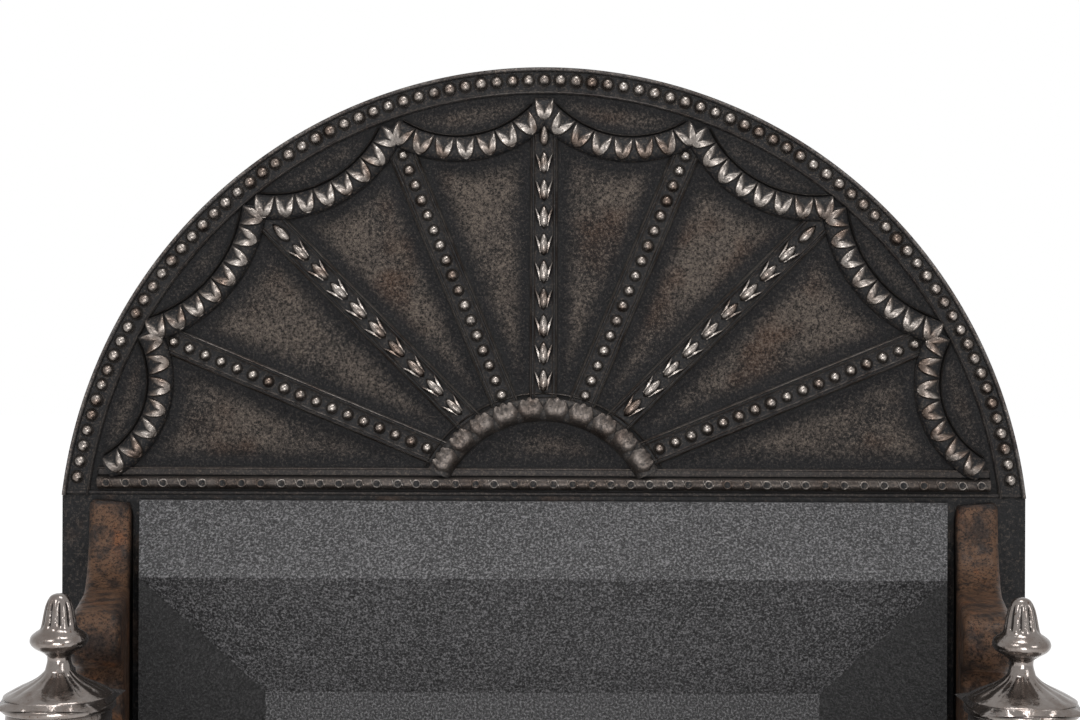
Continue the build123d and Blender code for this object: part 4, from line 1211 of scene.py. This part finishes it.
def dark_steel():
    """Dark oiled fasteners with rubbed corners."""
    finish = Finish("oiled_fasteners", "charcoal")
    finish.lay("rubbed", finish.patches(4 * MM, 0.5, 0.75, detail=4.0))
    finish.bumps((finish.grain(2.5 * MM), 0.2 * MM))
    return finish.surface(finish.patches(2 * MM, 0.3, 0.7, 0.3, 0.5), 0.7)


def slot_finishes():
    """The finish of each of the record's material slots that CAD nodes keep."""
    black = cast_black()
    return {
        "carved_casting": black,
        "black_casting": black,
        "black_bar": black,
        "fireback_casting": fireback_iron(),
        "browned_casting": heat_browned(),
        "polished_steel": polished("polished_bars", False),
        "dark_fasteners": dark_steel(),
    }


def floor_material():
    """A pale floor: it keeps the shadow, and seen by the camera or in metal it is mostly white."""
    finish = Finish("pale_floor", "floor")
    path = finish.nodes.new("ShaderNodeLightPath")
    seen = finish.plus(path.outputs["Is Camera Ray"], path.outputs["Is Glossy Ray"])
    seen = finish.plus(seen, path.outputs["Is Transmission Ray"])
    glow = finish.nodes.new("ShaderNodeEmission")
    blend = finish.nodes.new("ShaderNodeAddShader")
    finish.surface(0.9, specular=0.0)
    finish.join(finish.times(seen, FLOOR_GLOW), glow.inputs["Strength"])
    finish.join(finish.shader.outputs[0], blend.inputs[0])
    finish.join(glow.outputs[0], blend.inputs[1])
    finish.join(blend.outputs[0], finish.nodes["Material Output"].inputs["Surface"])
    return finish.material


# Stage

def white_world(ambient):
    """Even light on the grate, and white where the camera or the metal sees the background."""
    world = bpy.data.worlds.new("white_room")
    bpy.context.scene.world = world
    world.use_nodes = True
    tree = world.node_tree
    path = tree.nodes.new("ShaderNodeLightPath")
    total = path.outputs["Is Camera Ray"]
    for kind in ("Is Glossy Ray", "Is Transmission Ray"):
        node = tree.nodes.new("ShaderNodeMath")
        node.use_clamp = True
        tree.links.new(total, node.inputs[0])
        tree.links.new(path.outputs[kind], node.inputs[1])
        total = node.outputs[0]
    strength = tree.nodes.new("ShaderNodeMapRange")
    tree.links.new(total, strength.inputs[0])
    strength.inputs[3].default_value = ambient
    strength.inputs[4].default_value = 1.0
    background = tree.nodes["Background"]
    background.inputs["Color"].default_value = (1, 1, 1, 1)
    tree.links.new(strength.outputs[0], background.inputs["Strength"])


def soft_lamp(name, place, aim, width, power):
    """A square soft lamp that looks at a point."""
    light = bpy.data.lights.new(name, "AREA")
    light.size = width
    light.energy = power
    lamp = bpy.data.objects.new(name, light)
    lamp.location = place
    lamp.rotation_euler = (aim - lamp.location).to_track_quat("-Z", "Y").to_euler()
    bpy.context.scene.collection.objects.link(lamp)


def lay_floor(half):
    """The floor, flat at the grate's feet."""
    mesh = bpy.data.meshes.new("floor")
    corners = [(-half, -half, 0), (half, -half, 0), (half, half, 0), (-half, half, 0)]
    mesh.from_pydata(corners, [], [(0, 1, 2, 3)])
    mesh.materials.append(floor_material())
    floor = bpy.data.objects.new("floor", mesh)
    bpy.context.scene.collection.objects.link(floor)


def place_camera(stage):
    """The camera in front of the plate, looking level at it."""
    camera = bpy.data.cameras.new("camera")
    camera.lens = stage.lens
    camera.sensor_width = SENSOR_WIDTH
    seat = bpy.data.objects.new("camera", camera)
    forward, up = PLATE_FRONT - stage.camera_forward, SEAM + stage.camera_height
    seat.location = (stage.camera_side, forward, up)
    seat.rotation_euler = (np.pi / 2, stage.roll, stage.yaw)
    bpy.context.scene.collection.objects.link(seat)
    bpy.context.scene.camera = seat


# Operators

class GRATE_OT_carve_ground(bpy.types.Operator):
    """Cast the arched plate with its sunk wedges, crescents and lunette"""

    bl_idname = "grate.carve_ground"
    bl_label = "Panel ground"

    def execute(self, context):
        carve("panel_ground", panel_ground(), ground_iron())
        return {"FINISHED"}


class GRATE_OT_run_rim(bpy.types.Operator):
    """Run the lip, fillet and row of beads round the arch"""

    bl_idname = "grate.run_rim"
    bl_label = "Rim and beads"

    def execute(self, context):
        carve("rim_mouldings", rim_mouldings(), worn_iron("edge_iron", 0.3))
        beads = rim_beads(np.random.default_rng(11))
        carve("rim_beads", beads, worn_iron("bead_iron", 0.9))
        return {"FINISHED"}


class GRATE_OT_set_rays(bpy.types.Operator):
    """Set the seven rays with their beads and bell-flowers"""

    bl_idname = "grate.set_rays"
    bl_label = "Rays"

    def execute(self, context):
        random = np.random.default_rng(12)
        carve("ray_strips", ray_strips(), worn_iron("strip_iron", 0.6))
        carve("ray_beads", ray_beads(random), worn_iron("ray_bead_iron", 0.95))
        carve("ray_husks", husk_rows(random), worn_iron("husk_iron", 0.9))
        return {"FINISHED"}


class GRATE_OT_hang_swags(bpy.types.Operator):
    """Hang the swags of leaves between the rays' ends"""

    bl_idname = "grate.hang_swags"
    bl_label = "Swags"

    def execute(self, context):
        leaves = swag_leaves(np.random.default_rng(13))
        carve("swag_rolls", swag_rolls(), worn_iron("roll_iron", 0.4))
        carve("swag_leaves", leaves, worn_iron("leaf_iron", 1.0))
        return {"FINISHED"}


class GRATE_OT_set_boss(bpy.types.Operator):
    """Set the half ring of leaf clumps round the lunette"""

    bl_idname = "grate.set_boss"
    bl_label = "Boss"

    def execute(self, context):
        leaves = boss_leaves(np.random.default_rng(14))
        carve("boss_ring", boss_ring(), worn_iron("boss_iron", 0.35))
        carve("boss_leaves", leaves, worn_iron("clump_iron", 0.6, 0.35))
        return {"FINISHED"}


class GRATE_OT_run_base(bpy.types.Operator):
    """Run the mouldings along the seam and strike their small rings"""

    bl_idname = "grate.run_base"
    bl_label = "Base mouldings"

    def execute(self, context):
        rings = base_rings(np.random.default_rng(15))
        carve("base_mouldings", base_mouldings(), worn_iron("base_iron", 0.55, 0.45))
        carve("base_rings", rings, worn_iron("ring_iron", 0.8))
        return {"FINISHED"}


class GRATE_OT_turn_urns(bpy.types.Operator):
    """Turn the two urns and their acorn lids"""

    bl_idname = "grate.turn_urns"
    bl_label = "Urns"

    def execute(self, context):
        steel = polished("fluted_steel", True)
        for side in ("left", "right"):
            body, lid = f"{side}_urn", f"{side}_urn_lid"
            make_piece(f"{side}_gadrooned_urn", urn_body(side), steel, [body])
            make_piece(f"{side}_acorn_lid", urn_lid(side), steel, [lid])
        return {"FINISHED"}


class GRATE_OT_set_rosettes(bpy.types.Operator):
    """Set the petalled bolt heads on the standards"""

    bl_idname = "grate.set_rosettes"
    bl_label = "Rosettes"

    def execute(self, context):
        steel = polished("rosette_steel", True)
        make_piece("rosettes", rosettes(), steel, ["patera_bolts"])
        return {"FINISHED"}


class GRATE_OT_finish_castings(bpy.types.Operator):
    """Give every carried-over casting, bar and fastener its finish"""

    bl_idname = "grate.finish_castings"
    bl_label = "Castings"

    def execute(self, context):
        finishes = slot_finishes()
        for node, part in NODES.items():
            part.data.materials.clear()
            part.data.materials.append(finishes[SLOT_OF_NODE[node]])
        return {"FINISHED"}


class GRATE_OT_set_stage(bpy.types.Operator):
    """Set the floor, the white room, the soft lamps and the camera"""

    bl_idname = "grate.set_stage"
    bl_label = "Stage"

    def execute(self, context):
        stage = context.scene.grate_stage
        context.scene.view_settings.view_transform = "Standard"
        lay_floor(stage.floor_half)
        white_world(stage.ambient)
        aim = (PANEL_LOW + PANEL_HIGH) / 2
        for name, (place, width, power) in LAMPS.items():
            soft_lamp(name, place, aim, width, power)
        place_camera(stage)
        return {"FINISHED"}


OPERATORS = (
    GRATE_OT_carve_ground,
    GRATE_OT_run_rim,
    GRATE_OT_set_rays,
    GRATE_OT_hang_swags,
    GRATE_OT_set_boss,
    GRATE_OT_run_base,
    GRATE_OT_turn_urns,
    GRATE_OT_set_rosettes,
    GRATE_OT_finish_castings,
    GRATE_OT_set_stage,
)


class GRATE_PT_dressing(bpy.types.Panel):
    """Lists the grate's operators and sizes"""

    bl_idname = "GRATE_PT_dressing"
    bl_label = "Fire grate"
    bl_space_type = "VIEW_3D"
    bl_region_type = "UI"
    bl_category = "Grate"

    def draw(self, context):
        for operator in OPERATORS:
            self.layout.operator(operator.bl_idname)
        for name, group in SETTINGS.items():
            box = self.layout.box()
            box.label(text=group.__name__)
            for key in group.__annotations__:
                box.prop(getattr(context.scene, name), key)


def register():
    """Register the settings, the operators and the panel."""
    for name, group in SETTINGS.items():
        bpy.utils.register_class(group)
        setattr(bpy.types.Scene, name, PointerProperty(type=group))
    for operator in OPERATORS:
        bpy.utils.register_class(operator)
    bpy.utils.register_class(GRATE_PT_dressing)


def unregister():
    """Remove the panel, the operators and the settings."""
    bpy.utils.unregister_class(GRATE_PT_dressing)
    for operator in reversed(OPERATORS):
        bpy.utils.unregister_class(operator)
    for name, group in reversed(SETTINGS.items()):
        delattr(bpy.types.Scene, name)
        bpy.utils.unregister_class(group)


def main():
    """Dress the grate, one operator after another."""
    register()
    for operator in OPERATORS:
        group, name = operator.bl_idname.split(".")
        getattr(getattr(bpy.ops, group), name)()


if __name__ == "__main__":
    main()
